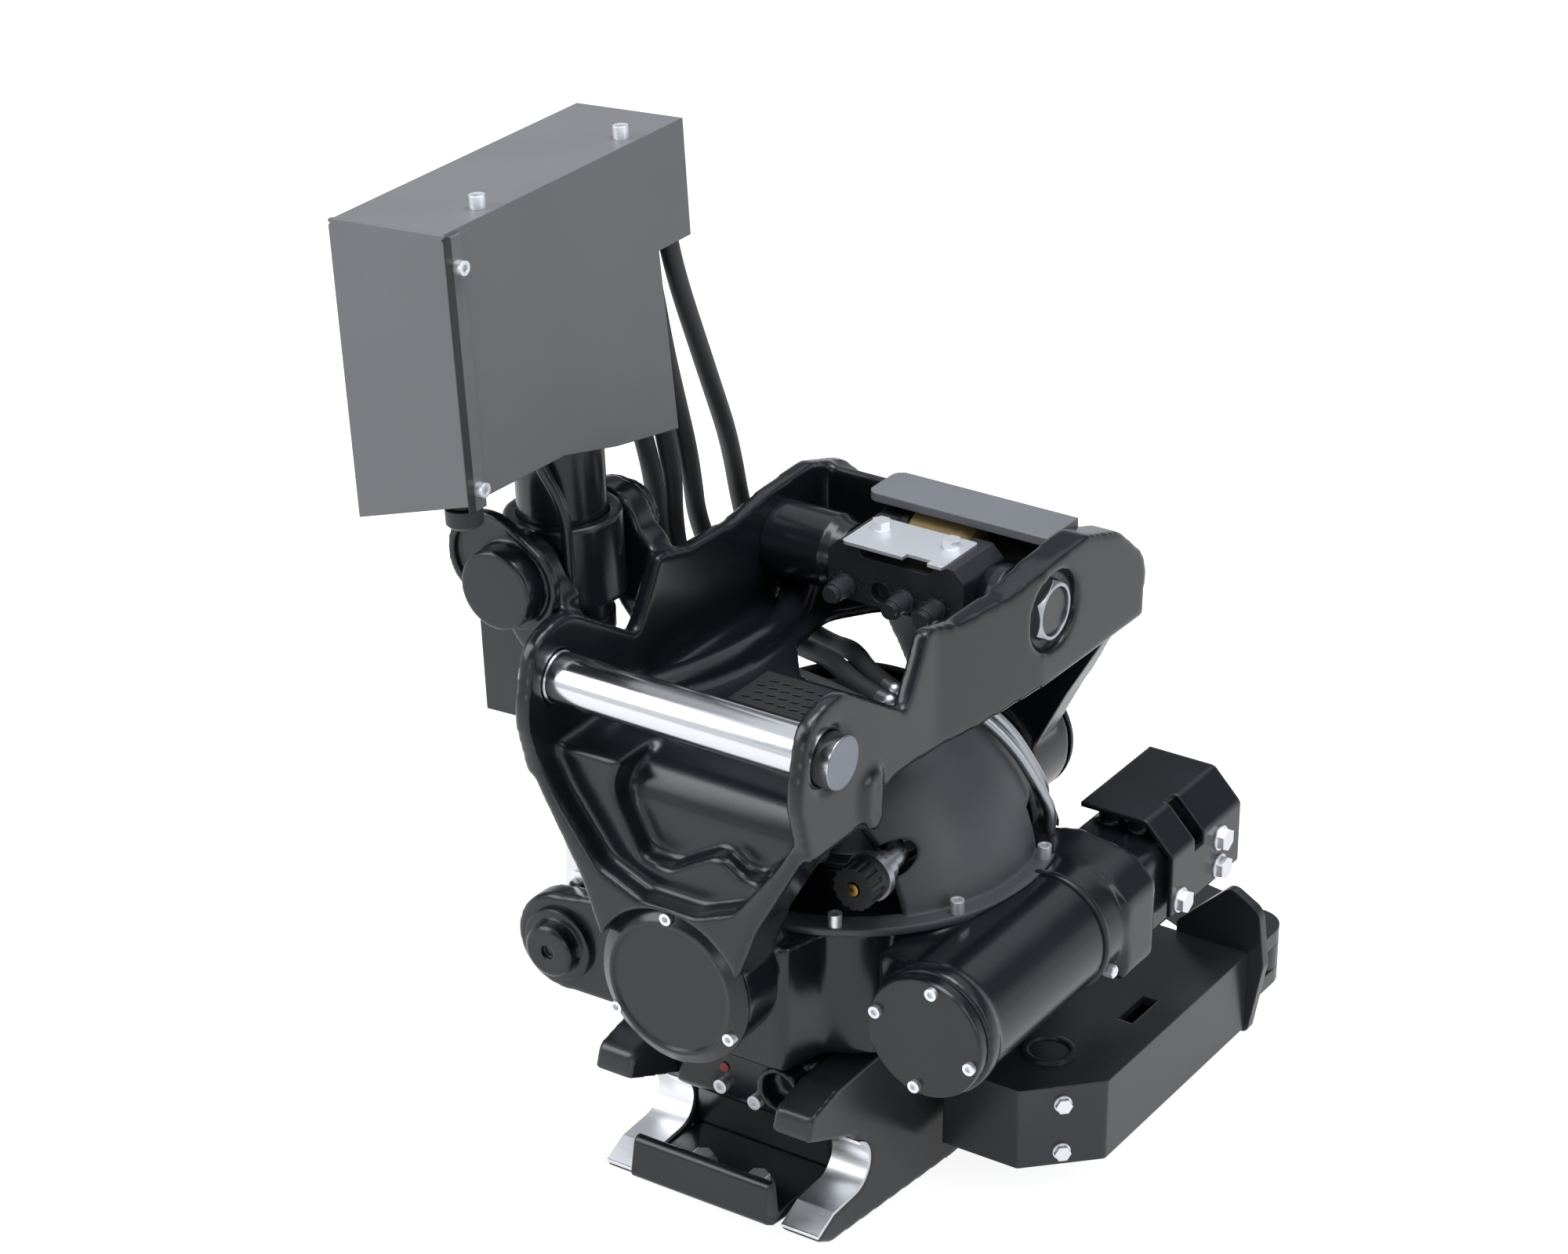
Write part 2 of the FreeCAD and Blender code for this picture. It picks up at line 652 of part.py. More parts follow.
def hydraulic_block():
    """The coupling block on the rear pin with its ports, cover plate, collars and nipples."""
    y = s.pin_spacing
    front, back = y - 38, y + 22
    left, right = -44, 80
    body = slab("XZ", [(left, -18, 3), (right, -18, 3), (right, 22, 3), (right - 10, 32, 2),
                       (right - 28, 32), (right - 30, 22, 4), (left + 30, 22, 4), (left + 28, 32),
                       (left + 10, 32, 2), (left, 22, 3)], front, back)
    body = cut(body, [rod("X", (y, 0), left - 1, right + 1, s.pin_radius + s.fit)])
    ports = (-27, 4, 27, 56)
    bores = [rod("Y", (x, -5), front - 1, front + 9, 8.5) for x in ports]
    screws = []
    for x in ports:
        for i in range(8):
            angle = math.radians(45 * i + 22)
            screws.append(rod("Y", (x + 12 * math.cos(angle), -5 + 11.5 * math.sin(angle)),
                              front - 1, front + 1.5, 1.2))
    solid("hydraulic_block", cut(body, bores + screws))
    nipples = []
    for x in (ports[0], ports[2], ports[3]):
        nipple = rod("Y", (x, -5), front - 20, front + 9, 8.4)
        nipple = nipple.fuse(rod("Y", (x, -5), front - 25, front - 20, 6.6))
        nipple = nipple.fuse(rod("Y", (x, -5), front - 5, front - 1, 9.8)).removeSplitter()
        nipples.append(nipple)
    solid("coupling_nipples", Part.makeCompound(nipples))
    plate = slab("XY", [(-28, front - 6, 3), (64, front - 6, 3), (64, y + 10, 3), (-28, y + 10, 3)],
                 32, 35)
    notch = box((28, front - 8, 30), (50, front + 1, 37))
    solid("block_plate", cut(plate, [notch]))
    heads = [hex_screw(Vector(x, y - 8, 35), "Z", s.hex_bolt_flats * 0.8, 7) for x in (-14, 50)]
    inner = s.hitch_half_width - s.hitch_plate
    bore = s.pin_radius + s.fit
    sleeve = inner + left
    left_sleeve = lathe([(bore, 0), (31, 0), (31, sleeve * 0.78), (28, sleeve * 0.86), (26, sleeve),
                         (bore, sleeve)], Vector(-inner, y, 0), "X")
    wide = inner - right
    right_sleeve = lathe([(bore, 0), (22, 0), (27, wide * 0.3), (27, wide * 0.55), (24, wide * 0.6),
                          (24, wide * 0.72), (28, wide * 0.76), (28, wide), (bore, wide)],
                         Vector(right, y, 0), "X")
    solid("pin_sleeves", Part.makeCompound([left_sleeve, right_sleeve]))
    return heads


def hitch_top_parts():
    """The rear cross bar, the bronze accumulator, the black filter and the grip plate."""
    inner = s.hitch_half_width - s.hitch_plate
    bar = slab("XY", [(-52, 330, 10), (inner, 330), (inner, 378), (-52, 378, 10)], 36, 43)
    solid("rear_crossbar", bar)
    filter_profile = [(0, 0), (19, 0), (21, 2), (21, 20), (23, 21), (23, 27), (0, 27)]
    turned("oil_filter", filter_profile, (-41, s.pin_spacing + 46.2, 9), "X")
    barrel_profile = [(0, 0), (20, 0), (23, 3), (23, 48), (19, 57), (8, 60), (0, 60)]
    turned("bronze_accumulator", barrel_profile, (-14, s.pin_spacing + 46.2, 9), "X")
    top = s.floor_top
    plate = box((-44, 120, top), (50, 176, top + 2.5))
    slots = []
    for row in range(4):
        for column in range(8):
            x = -38 + column * 11 + (row % 2) * 5
            slot = slab("XY", [(x, 128 + row * 11, 0.8), (x + 7, 130 + row * 11, 0.8),
                               (x + 7, 132.4 + row * 11, 0.8), (x, 130.4 + row * 11, 0.8)],
                        top - 1, top + 4)
            slots.append(slot)
    solid("grip_plate", cut(plate, slots))


def obround(first, second, radius, low, high):
    """A plate round two points of the XZ plane."""
    ends = [rod("Y", first, low, high, radius), rod("Y", second, low, high, radius)]
    way = Vector(float(second[0] - first[0]), 0, float(second[1] - first[1]))
    way.normalize()
    side = Vector(-way.z, 0, way.x) * float(radius)
    points = []
    for spot, turn in ((first, 1), (second, 1), (second, -1), (first, -1)):
        points.append((float(spot[0]) + side.x * turn, float(spot[1]) + side.z * turn))
    return fuse([slab("XZ", points, low, high)] + ends)


def trunnion_caps():
    """The end discs of the trunnion bearings, and the rimmed loop plate under the front one."""
    x, z = s.trunnion_x, s.trunnion_z
    r = s.trunnion_disc_radius
    front = s.trunnion_front
    upper, lower = (x - 13, z + 21), (x + 12, z + 5)
    loop = obround(upper, lower, r + 5, front - 9, front)
    dip = obround(upper, lower, r - 1, front - 10, front - 4)
    loop = cut(loop, [dip])
    profile = [(0, 0), (r, 0), (r, 19), (r - 2, 21), (0, 21)]
    disc = lathe(profile, Vector(x + 5, front - 4, z + 4), "-Y")
    rear_profile = [(0, 0), (r + 2, 0), (r + 2, 4), (r - 3, 5), (r - 5, 8), (r - 5, 16), (0, 16)]
    rear = lathe(rear_profile, Vector(x, s.trunnion_rear, z), "Y")
    solid("trunnion_caps", Part.makeCompound([fuse([loop, disc]), rear]))


def lean(shape):
    """Turns a shape with the leaning cylinder about the trunnion axis."""
    shape.rotate(Vector(s.trunnion_x, 0, s.trunnion_z), Vector(0, 1, 0), -float(s.cylinder_lean))
    return shape


def tilt_cylinder():
    x, y, z = s.trunnion_x, s.cylinder_y, s.trunnion_z
    low, high = z - s.barrel_below, z + s.barrel_above
    barrel = rod("Z", (x, y), low, high, s.barrel_radius)
    barrel = barrel.fuse(rod("Z", (x, y), high, high + 14, s.barrel_radius - 5))
    bore = rod("Z", (x, y), low + 16, high - 10, s.bore_radius)
    gland = rod("Z", (x, y), low - 1, low + 17, s.rod_radius + s.fit)
    solid("cylinder_barrel", lean(cut(barrel, [bore, gland])))
    head = rod("Z", (x, y), low - 14, low - s.fit, s.barrel_radius + 1)
    dx, dy = s.pipe_dx, s.pipe_dy
    port = rod("Z", (x + dx, y + dy), low - 12, low + 4, 5.8)
    arm = Part.makeCylinder(5.5, math.hypot(dx, dy), Vector(x, y, low - 7), Vector(dx, dy, 0))
    head = fuse([head, port, arm])
    solid("cylinder_gland", lean(cut(head, [rod("Z", (x, y), low - 15, low + 1, s.rod_radius + s.fit)])))
    half = 34
    ring = rod("Z", (x, y), z - half, z + half, s.barrel_radius + 11)
    stub_front = rod("Y", (x, z), s.trunnion_front + 0.5, y, s.trunnion_radius)
    stub_rear = rod("Y", (x, z), y, s.trunnion_rear - 0.5, s.trunnion_radius)
    ring = fuse([ring, stub_front, stub_rear])
    ring = cut(ring, [rod("Z", (x, y), z - half - 1, z + half + 1, s.barrel_radius + s.fit)])
    flat = s.trunnion_boss_width + s.seat_gap
    trims = [box((x - 60, s.trunnion_front - 9, z - 60), (x + 60, s.trunnion_front + flat, z + 60)),
             box((x - 60, s.trunnion_rear - flat, z - 60), (x + 60, s.trunnion_rear + 9, z + 60))]
    trims = [t.cut(rod("Y", (x, z), s.trunnion_front - 10, s.trunnion_rear + 10, s.trunnion_radius))
             for t in trims]
    solid("trunnion_ring", lean(cut(ring, trims)))


def piston_and_rod():
    """The rod with its eye on the lug axis, leaning towards the trunnion, and the piston."""
    x, y, z = s.trunnion_x, s.cylinder_y, s.trunnion_z
    reach = math.hypot(float(s.lug_x - x), float(z - s.lug_z))
    eye_z = float(z) - reach
    width = s.lug_gap / 2 - s.seat_gap
    eye = rod("Y", (x, eye_z), y - width, y + width, s.eye_radius)
    shank = rod("Z", (x, y), eye_z, eye_z + s.rod_length, s.rod_radius)
    neck = Part.makeCone(s.rod_radius + 2.5, s.rod_radius, 20, Vector(x, y, eye_z + float(s.eye_radius) - 4))
    bar = fuse([eye, shank, neck])
    hole = rod("Y", (x, eye_z), y - width - 1, y + width + 1, s.lug_pin_radius + s.fit)
    solid("piston_rod", lean(cut(bar, [hole])))
    solid("eye_pin", lean(rod("Y", (x, eye_z), y - width, y + width, s.lug_pin_radius)))
    top = eye_z + s.rod_length
    piston = rod("Z", (x, y), top, top + s.piston_height, s.bore_radius - s.fit)
    solid("piston", lean(piston))


def cover_box():
    """The folded sheet cover round the cylinder's upper end, leaning with it."""
    t = s.sheet
    x, z = s.trunnion_x, s.trunnion_z
    half = s.box_width / 2
    centre = x + 2
    left, right = centre - half, centre + half
    front, back = s.box_front, s.box_back
    top, bottom = s.box_top, s.box_bottom
    side = [(front + t, bottom + 12), (36, bottom + 8, 12), (100, bottom - 8, 14), (180, bottom - 22),
            (back - 42, s.box_notch_top), (back, s.box_notch_top), (back, top), (front + t, top)]
    right_panel = slab("YZ", side, right - t, right)
    left_panel = slab("YZ", side, left, left + t)
    roof = box((left, front + t, top - t), (right, back, top))
    rear = box((left, back - t, s.box_notch_top), (right, back, top))
    hem = box((left + t, back - 46, s.box_notch_top), (right - t, back, s.box_notch_top + t))
    shell = fuse([right_panel, left_panel, roof, rear])
    notch = rod("X", (back - 8, bottom), right, right + 1, 3)
    pieces = {"cover_box": cut(shell, [notch])}
    front_panel = slab("XZ", [(left - 3, bottom - 14), (right + 2, bottom + 12), (right + 2, top - 3, 3),
                              (left - 3, top - 3, 3)], front, front + t - s.fit)
    lip = slab("XZ", [(left - 3, top - 3, 3), (right + 2, top - 3, 3), (right + 2, top, 2),
                      (left - 3, top, 2)], front, front + t - s.fit)
    strip = box((right + s.fit, front, bottom + 6), (right + t, front + 20, top - 3))
    pieces["cover_front_panel"] = fuse([front_panel, lip])
    pieces["cover_corner_strip"] = cut(strip, [box((right - 5, front - 1, bottom), (right + 2, front + t, top))])
    screws = [socket_screw(Vector(right + t, front + 12, level), "X", 5.5, 7)
              for level in (bottom + 22, top - 26)]
    screws += [socket_screw(Vector(right - 14, level, top), "Z", 6, 10) for level in (front + 62, front + 238)]
    pieces["cover_screws"] = Part.makeCompound(screws)
    arm = s.barrel_radius
    brackets = []
    for level in (bottom + 40, top - 60):
        brackets.append(box((left + t, s.cylinder_y - 20, level), (right - t, s.cylinder_y + 20, level + 5)))
    tab_low = bottom + 14
    tab = box((right - 34, front + t, tab_low), (right - t, front + 36, tab_low + 4))
    pieces["cover_box"] = fuse([pieces["cover_box"], tab] + brackets)
    plug = [(0, 0), (13, 0), (13, 5), (10, 7), (10, 11), (14, 12), (14, 24), (11, 27), (0, 27)]
    pieces["cable_plug"] = lathe(plug, Vector(right - 18, front + 19, tab_low), "-Z")
    pieces["hose_manifold"] = box((left + 14, s.box_notch_rear, s.manifold_bottom),
                                  (right - 10, back - t, s.manifold_bottom + 34))
    for shape in pieces.values():
        shape.rotate(Vector(x, 0, z), Vector(0, 1, 0), -float(s.box_lean))
    room = lean(rod("Z", (x, s.cylinder_y), z, top - t - 8, arm + s.fit))
    pieces["cover_box"] = cut(pieces["cover_box"], [room])
    stubs = [hose_stub(route[0], route[1], 8) for route in HOSE_ROUTES]
    pieces["hose_manifold"] = pieces["hose_manifold"].fuse(stubs).removeSplitter()
    for label, shape in pieces.items():
        solid(label, shape)


def hose_stub(end, before, length):
    """A fitting that carries a hose's end on, away from the hose."""
    start = Vector(*[float(c) for c in end])
    way = start - Vector(*[float(c) for c in before])
    return Part.makeCylinder(s.hose_radius + 0.4, length, start, way)


def cylinder_trim():
    """The oil pipe on the barrel, the cable plug under the cover and the lower rod guard."""
    x, y, z = s.trunnion_x, s.cylinder_y, s.trunnion_z
    r = s.barrel_radius
    side = y - r - 10
    route = [(x + 5, y - r - 0.6, z + 200), (x + 5, side, z + 200), (x + 5, side, z + 184), (x + 6, side + 1, z + 130),
             (x + 12, side + 1, z + 92), (x + s.pipe_dx, y + s.pipe_dy, z + 56),
             (x + s.pipe_dx, y + s.pipe_dy, z - 46)]
    solid("oil_pipe", lean(tube(route, 4.5)))
    shell = 3
    guard = slab("XY", [(x - 52, 47), (x + 20, 47), (x + 20, 47 + shell), (x - 52 + shell, 47 + shell),
                        (x - 52 + shell, 136), (x - 52, 136)], z - 128, z - 52)
    bracket = box((x - 52 + shell, y - 9, z - 62), (x, y + 9, z - 57))
    bracket = cut(bracket, [rod("Z", (x, y), z - 70, z - 40, r + 1)])
    solid("rod_guard", lean(guard.fuse(bracket).removeSplitter()))


def housing_outline():
    """The rotor housing seen from above: round round the rotor, drawn out to both hubs."""
    y = s.rotor_y
    r = s.housing_radius
    return [(-58, s.hub_back + 12, 10), (58, s.hub_back + 12, 10), (70, y - r * 0.86, 40), (r * 0.98, y - r * 0.5, 70),
            (r, y, 90), (r * 0.93, y + r * 0.45, 70), (60, y + r * 0.95, 40), (50, s.rear_leg_front - 8, 8),
            (-50, s.rear_leg_front - 8, 8), (-60, y + r * 0.95, 40), (-r * 0.98, y + r * 0.5, 70),
            (-r, y, 90), (-r * 0.98, y - r * 0.5, 70), (-70, y - r * 0.86, 40)]


def worm_case():
    """The barrel that holds the worm, its end collar and the motor flange block."""
    x, z = s.worm_x, s.worm_z
    r = s.worm_case_radius
    case = rod("Y", (x, z), s.worm_case_front, s.worm_case_back, r)
    collar = rod("Y", (x, z), s.worm_case_front, s.worm_case_front + 14, r + 3)
    block = slab("XZ", [(x - 50, z - 45, 6), (x + 51, z - 45, 8), (x + 51, z + 24, 10), (x + 30, z + 46, 40),
                        (x - 20, z + 52, 40), (x - 50, z + 44, 6)], s.worm_case_back, s.worm_case_back + 46)
    saddle = box((x - 60, s.worm_case_front + 20, z - 40), (x, s.worm_case_back + 40, s.housing_top - 4))
    return [case, collar, block, saddle]


def rotor_housing():
    y = s.rotor_y
    z = -s.tilt_drop
    body = slab("XY", housing_outline(), s.housing_bottom, s.housing_top)
    neck = rod("Z", (0, y), s.housing_bottom, s.housing_top, s.housing_radius)
    reach = s.dome_flange_radius + 1
    front = rod("Y", (0, z), s.hub_back + s.seat_gap, y - reach, s.journal_flange_radius)
    rear = rod("Y", (0, z), y + reach, s.rear_leg_front - 6 - s.seat_gap, s.journal_flange_radius - 6)
    lugs = []
    gap_low = s.cylinder_y - s.lug_gap / 2
    gap_high = s.cylinder_y + s.lug_gap / 2
    for low in (gap_low - s.lug_plate, gap_high):
        lug = slab("XZ", [(s.lug_x, s.lug_z - s.lug_radius), (-46, s.housing_bottom + 4), (-46, s.housing_top - 2),
                          (s.lug_x, s.lug_z + s.lug_radius)], low, low + s.lug_plate)
        lugs.append(lug)
        lugs.append(rod("Y", (s.lug_x, s.lug_z), low, low + s.lug_plate, s.lug_radius))
    whole = fuse([body, neck, front, rear] + lugs + worm_case())
    slot = box((s.lug_x - 80, gap_low, s.lug_z - 80), (-92, gap_high, s.lug_z + 120))
    cavity = rod("Z", (0, y), s.wheel_bottom - 6, s.wheel_top + 6, s.wheel_tip + 3)
    mouth = rod("Z", (0, y), s.housing_bottom - 1, s.wheel_bottom - 5, s.neck_radius + s.fit)
    top = rod("Z", (0, y), s.housing_top - 14, s.housing_top + 1, s.swivel_radius + 4 + s.fit)
    bore = rod("Y", (s.worm_x, s.worm_z), s.worm_case_front - 1, s.worm_case_back + 6, s.worm_bore)
    shaft_bore = rod("Y", (s.worm_x, s.worm_z), s.worm_case_back, s.worm_case_back + 47,
                     s.worm_shaft_radius + s.fit)
    heads = rod("Y", (s.lug_x, s.lug_z), gap_high + s.lug_plate, gap_high + s.lug_plate + 22, s.lug_pin_radius + 11)
    front_hole = rod("Y", (0, z), s.hub_back - 1, s.hub_back + 31, s.journal_radius - 6)
    rear_hole = rod("Y", (0, z), s.rear_leg_front - 40, s.rear_leg_front, s.journal_radius - 6)
    solid("rotor_housing", cut(whole, [slot, cavity, mouth, top, bore, shaft_bore, heads,
                                      front_hole, rear_hole]))
    spigot = s.journal_radius - 6 - s.fit
    depth = 30
    front_length = s.hub_back - s.hub_front + s.seat_gap
    rear_length = s.rear_hub_back - s.rear_leg_front + 6 + s.seat_gap
    journals = [lathe([(0, 0), (s.journal_radius, 0), (s.journal_radius, front_length), (spigot, front_length),
                       (spigot, front_length + depth), (0, front_length + depth)],
                      Vector(0, s.hub_front, z), "Y"),
                lathe([(0, 0), (s.journal_radius, 0), (s.journal_radius, rear_length), (spigot, rear_length),
                       (spigot, rear_length + depth - 6), (0, rear_length + depth - 6)],
                      Vector(0, s.rear_hub_back, z), "-Y")]
    solid("tilt_journals", Part.makeCompound(journals))


def lug_pin_ends():
    """The pin heads outside the two lugs and the pin stubs inside them."""
    low = s.cylinder_y - s.lug_gap / 2
    r = s.lug_pin_radius
    profile = [(0, 0), (r + 9, 0), (r + 9, 5), (r + 2, 6), (r, 10), (r, 16), (r - 3, 18), (6, 18), (6, 14), (0, 14)]
    heads = [lathe(profile, Vector(s.lug_x, low - s.lug_plate, s.lug_z), "-Y"),
             lathe(profile, Vector(s.lug_x, low + s.lug_gap + s.lug_plate, s.lug_z), "Y")]
    solid("lug_pins", Part.makeCompound(heads))


def dome():
    """The sheet dome over the swivel, its flange, its screws and the housing screws."""
    y, base = s.rotor_y, s.housing_top
    r, t = s.dome_radius, s.dome_wall
    drop = float(s.tilt_drop + base)
    ball = Part.makeSphere(r, Vector(0, y, -s.tilt_drop))
    inner = Part.makeSphere(r - t, Vector(0, y, -s.tilt_drop))
    shell = cut(ball, [inner])
    window = box((-r - 1, y - r, base), (r + 1, y + r, base + r))
    shell = shell.common(window)
    flange = rod("Z", (0, y), base, base + s.dome_flange, s.dome_flange_radius).cut(
        rod("Z", (0, y), base - 1, base + s.dome_flange + 1, r - t - drop * 0.1))
    port = box((30, y - r - 20, base + s.dome_flange), (112, y - r * 0.64, base + 70))
    stem = rod("Y", (96, -155), y - r, y - r * 0.4, 14)
    crown = rod("Z", (0, y), base + 60, base + r, s.dome_opening)
    gap = s.seat_gap
    case = rod("Y", (s.worm_x, s.worm_z), s.worm_case_front, s.worm_case_back, s.worm_case_radius + gap)
    block = box((s.worm_x - 60, s.worm_case_back - gap, base - 1), (s.worm_x, s.worm_case_back + 50, base + 40))
    solid("dome_cover", cut(shell.fuse(flange).removeSplitter(), [port, stem, crown, case, block]))
    screws = []
    for angle in (-62, -27, 14, 62, 118, 180, 240):
        ring = s.dome_flange_radius - 6.5
        spot = Vector(ring * math.cos(math.radians(angle)), y + ring * math.sin(math.radians(angle)),
                      base + s.dome_flange)
        screws.append(socket_screw(spot, "Z", s.cap_bolt_radius + 0.5, s.cap_bolt_height + 3))
    return screws


def swivel():
    """The oil swivel on the housing's centre, under the dome."""
    base = s.housing_top
    r = s.swivel_radius
    height = s.swivel_top - base + 14
    body = lathe([(0, 0), (r + 4, 0), (r + 4, 18), (r - 4, 22), (r - 4, height - 20), (r, height - 16),
                  (r, height), (0, height)], Vector(0, s.rotor_y, base - 14), "Z")
    elbows = []
    for route in HOSE_ROUTES:
        end = Vector(*[float(c) for c in route[-1]])
        run = end - Vector(*[float(c) for c in route[-2]])
        run.normalize()
        knee = end + run * 10
        elbows.append(hose_stub(route[-1], route[-2], 10))
        elbows.append(Part.makeSphere(s.hose_radius + 0.4, knee))
        elbows.append(rod("Z", (knee.x, knee.y), s.swivel_top - 1, knee.z, s.hose_radius + 0.4))
    solid("oil_swivel", fuse([body] + elbows))


def dome_pipes():
    """The two bright oil pipes that run down behind the dome to the motor block."""
    r = s.dome_radius + 8
    foot = s.dome_radius + 5.5
    pipes = []
    for turn in (31, 45):
        path = [(50, s.swivel_top), (50, s.swivel_top + 24)]
        for rise in (60, 48, 36, 24):
            angle = math.radians(rise)
            path.append((r * math.cos(angle), -s.tilt_drop + r * math.sin(angle)))
        path += [(foot, -s.tilt_drop + 42), (foot, s.housing_top + s.dome_flange)]
        way = math.radians(turn)
        pipes.append(tube([(out * math.cos(way), s.rotor_y + out * math.sin(way), z) for out, z in path], 5))
    solid("dome_pipes", Part.makeCompound(pipes))


def front_connector():
    """The grease connector with its knurled cap and brass core, in front of the dome."""
    at = Vector(96, 80, -155)
    ring = Part.makeCylinder(20, 6, at + Vector(0, 22, 0), Vector(0, 1, 0))
    stem = Part.makeCylinder(13, 20, at + Vector(0, 24, 0), Vector(0, 1, 0))
    pipe = tube([at + Vector(0, 40, 0), at + Vector(0, 66, 0), at + Vector(-70, 112, 0)], 9)
    hub = rod("Z", (0, s.rotor_y), at.z - 30, at.z + 30, s.swivel_radius - 4)
    solid("connector_ring", cut(fuse([ring, stem, pipe]), [hub]))
    cap = Part.makeCylinder(18, 21.95, at, Vector(0, 1, 0))
    flutes = []
    for i in range(14):
        angle = math.radians(360 / 14 * i)
        flutes.append(Part.makeCylinder(2, 16, at + Vector(18.6 * math.cos(angle), -1, 18.6 * math.sin(angle)),
                                        Vector(0, 1, 0)))
    cap = cap.cut(flutes).cut(Part.makeCylinder(6.05, 4, at + Vector(0, -1, 0), Vector(0, 1, 0)))
    core = Part.makeCylinder(5, 6, at + Vector(0, -0.5, 0), Vector(0, 1, 0))
    solid("connector_cap", cap.fuse(core))


def worm_end_cap():
    x, z = s.worm_x, s.worm_z
    y = s.worm_case_front
    r = s.worm_case_radius
    turned("worm_end_cap", [(0, 0), (r, 0), (r, 8), (r - 1, 11), (0, 11)], (x, y, z), "-Y")
    screws = []
    for angle in (80, 165, 262, 345):
        spot = Vector(x + (r - 7) * math.cos(math.radians(angle)), y - 11, z + (r - 7) * math.sin(math.radians(angle)))
        screws.append(socket_screw(spot, "-Y", 5, 4))
    return screws


def worm_motor():
    """The hydraulic motor behind the flange block with its sheet guards and screws."""
    x, z = s.worm_x, s.worm_z
    start = s.worm_case_back + 46
    end = start + s.motor_length
    r = s.motor_radius
    case = slab("XZ", [(x - 40, z - 40, 10), (x + 40, z - 40, 10), (x + 40, z + 36, 12), (x - 40, z + 36, 12)],
                start, start + 66)
    can = rod("Y", (x, z), start + 66, end, r)
    ports = [Part.makeCylinder(11, 17.7, Vector(x + dx, start + 50, z + 34), Vector(0, 0, 1)) for dx in (-18, 9)]
    solid("drive_motor", fuse([case, can] + ports))
    t = s.sheet + 1
    outer = [(x - 36, z + 56), (x + 24, z + 56, 8), (x + 49, z + 30, 8), (x + 49, z - 24),
             (x + 49 - t, z - 24), (x + 49 - t, z + 28, 6), (x + 22, z + 56 - t, 6), (x - 36, z + 56 - t)]
    guard = slab("XZ", outer, start + 30, end - 6)
    slot = box((x + 20, start + 66, z + 20), (x + 60, start + 82, z + 56))
    solid("motor_guard", cut(guard, [slot]))
    screws = [hex_screw(Vector(x + 49, level, z + drop), "X", s.hex_bolt_flats, s.hex_bolt_height)
              for level, drop in ((start + 44, -14), (end - 40, -14), (end - 40, 12))]
    return screws


def worm_drive():
    """The worm, whose right-handed thread rises in steps of a twelfth of a turn, and its wheel."""
    x, z = s.worm_x, s.worm_z
    y = s.rotor_y
    turns = 4
    pitch = s.worm_pitch
    core = rod("Y", (x, z), s.worm_case_front + 6, s.worm_case_back + 2, s.worm_root)
    shaft = rod("Y", (x, z), s.worm_case_back, s.worm_case_back + 46 - s.seat_gap, s.worm_shaft_radius)
    shape = core.fuse(shaft)
    rings = []
    for i in range(turns * 12 + 1):
        centre = y - pitch * turns / 2 + pitch * i / 12
        corners = [Vector(s.worm_root - 1, centre - 3.6, 0), Vector(s.worm_tip, centre - 1.2, 0),
                   Vector(s.worm_tip, centre + 1.2, 0), Vector(s.worm_root - 1, centre + 3.6, 0)]
        face = Part.Face(Part.makePolygon(corners + corners[:1]))
        sector = face.revolve(Vector(0, 0, 0), Vector(0, 1, 0), 30)
        sector.rotate(Vector(0, 0, 0), Vector(0, 1, 0), 30 * i - 195)
        sector.translate(Vector(x, 0, z))
        rings.append(sector)
    solid("worm_shaft", shape.fuse(rings).removeSplitter())
    wheel = rod("Z", (0, y), s.wheel_bottom, s.wheel_top, s.wheel_tip)
    gap = math.pi * float(s.wheel_tip) / float(s.wheel_teeth)
    cutters = []
    for i in range(int(s.wheel_teeth)):
        tool = box((s.wheel_root, -gap * 0.62, s.wheel_bottom - 1), (s.wheel_tip + 2, gap * 0.62, s.wheel_top + 1))
        tool.rotate(Vector(0, 0, 0), Vector(0, 0, 1), 360 / float(s.wheel_teeth) * i)
        tool.translate(Vector(0, y, 0))
        cutters.append(tool)
    wheel = wheel.cut(cutters)
    wheel = wheel.cut(rod("Z", (0, y), s.wheel_bottom - 1, s.wheel_top + 1, 70))
    solid("worm_wheel", wheel)


def jaw_mouth(grow):
    """The open front hook's room, seen from the side, grown all round by a thickness."""
    y0, z0 = s.coupler_pin_y, s.coupler_pin_z
    r = s.pin_radius + 0.5 + grow
    inner = s.coupler_half_width - s.coupler_side_wall - 1
    outer = s.coupler_half_width + 1
    funnel = slab("YZ", [(y0 - 90, z0 + 66 + grow), (y0, z0 + r), (y0, z0 - r), (y0 - 30, z0 - 22 - grow),
                         (y0 - 52, z0 - 32 - grow), (y0 - 90, z0 - 32 - grow)], inner, outer)
    return rod("X", (y0, z0), inner, outer, r).fuse(funnel)


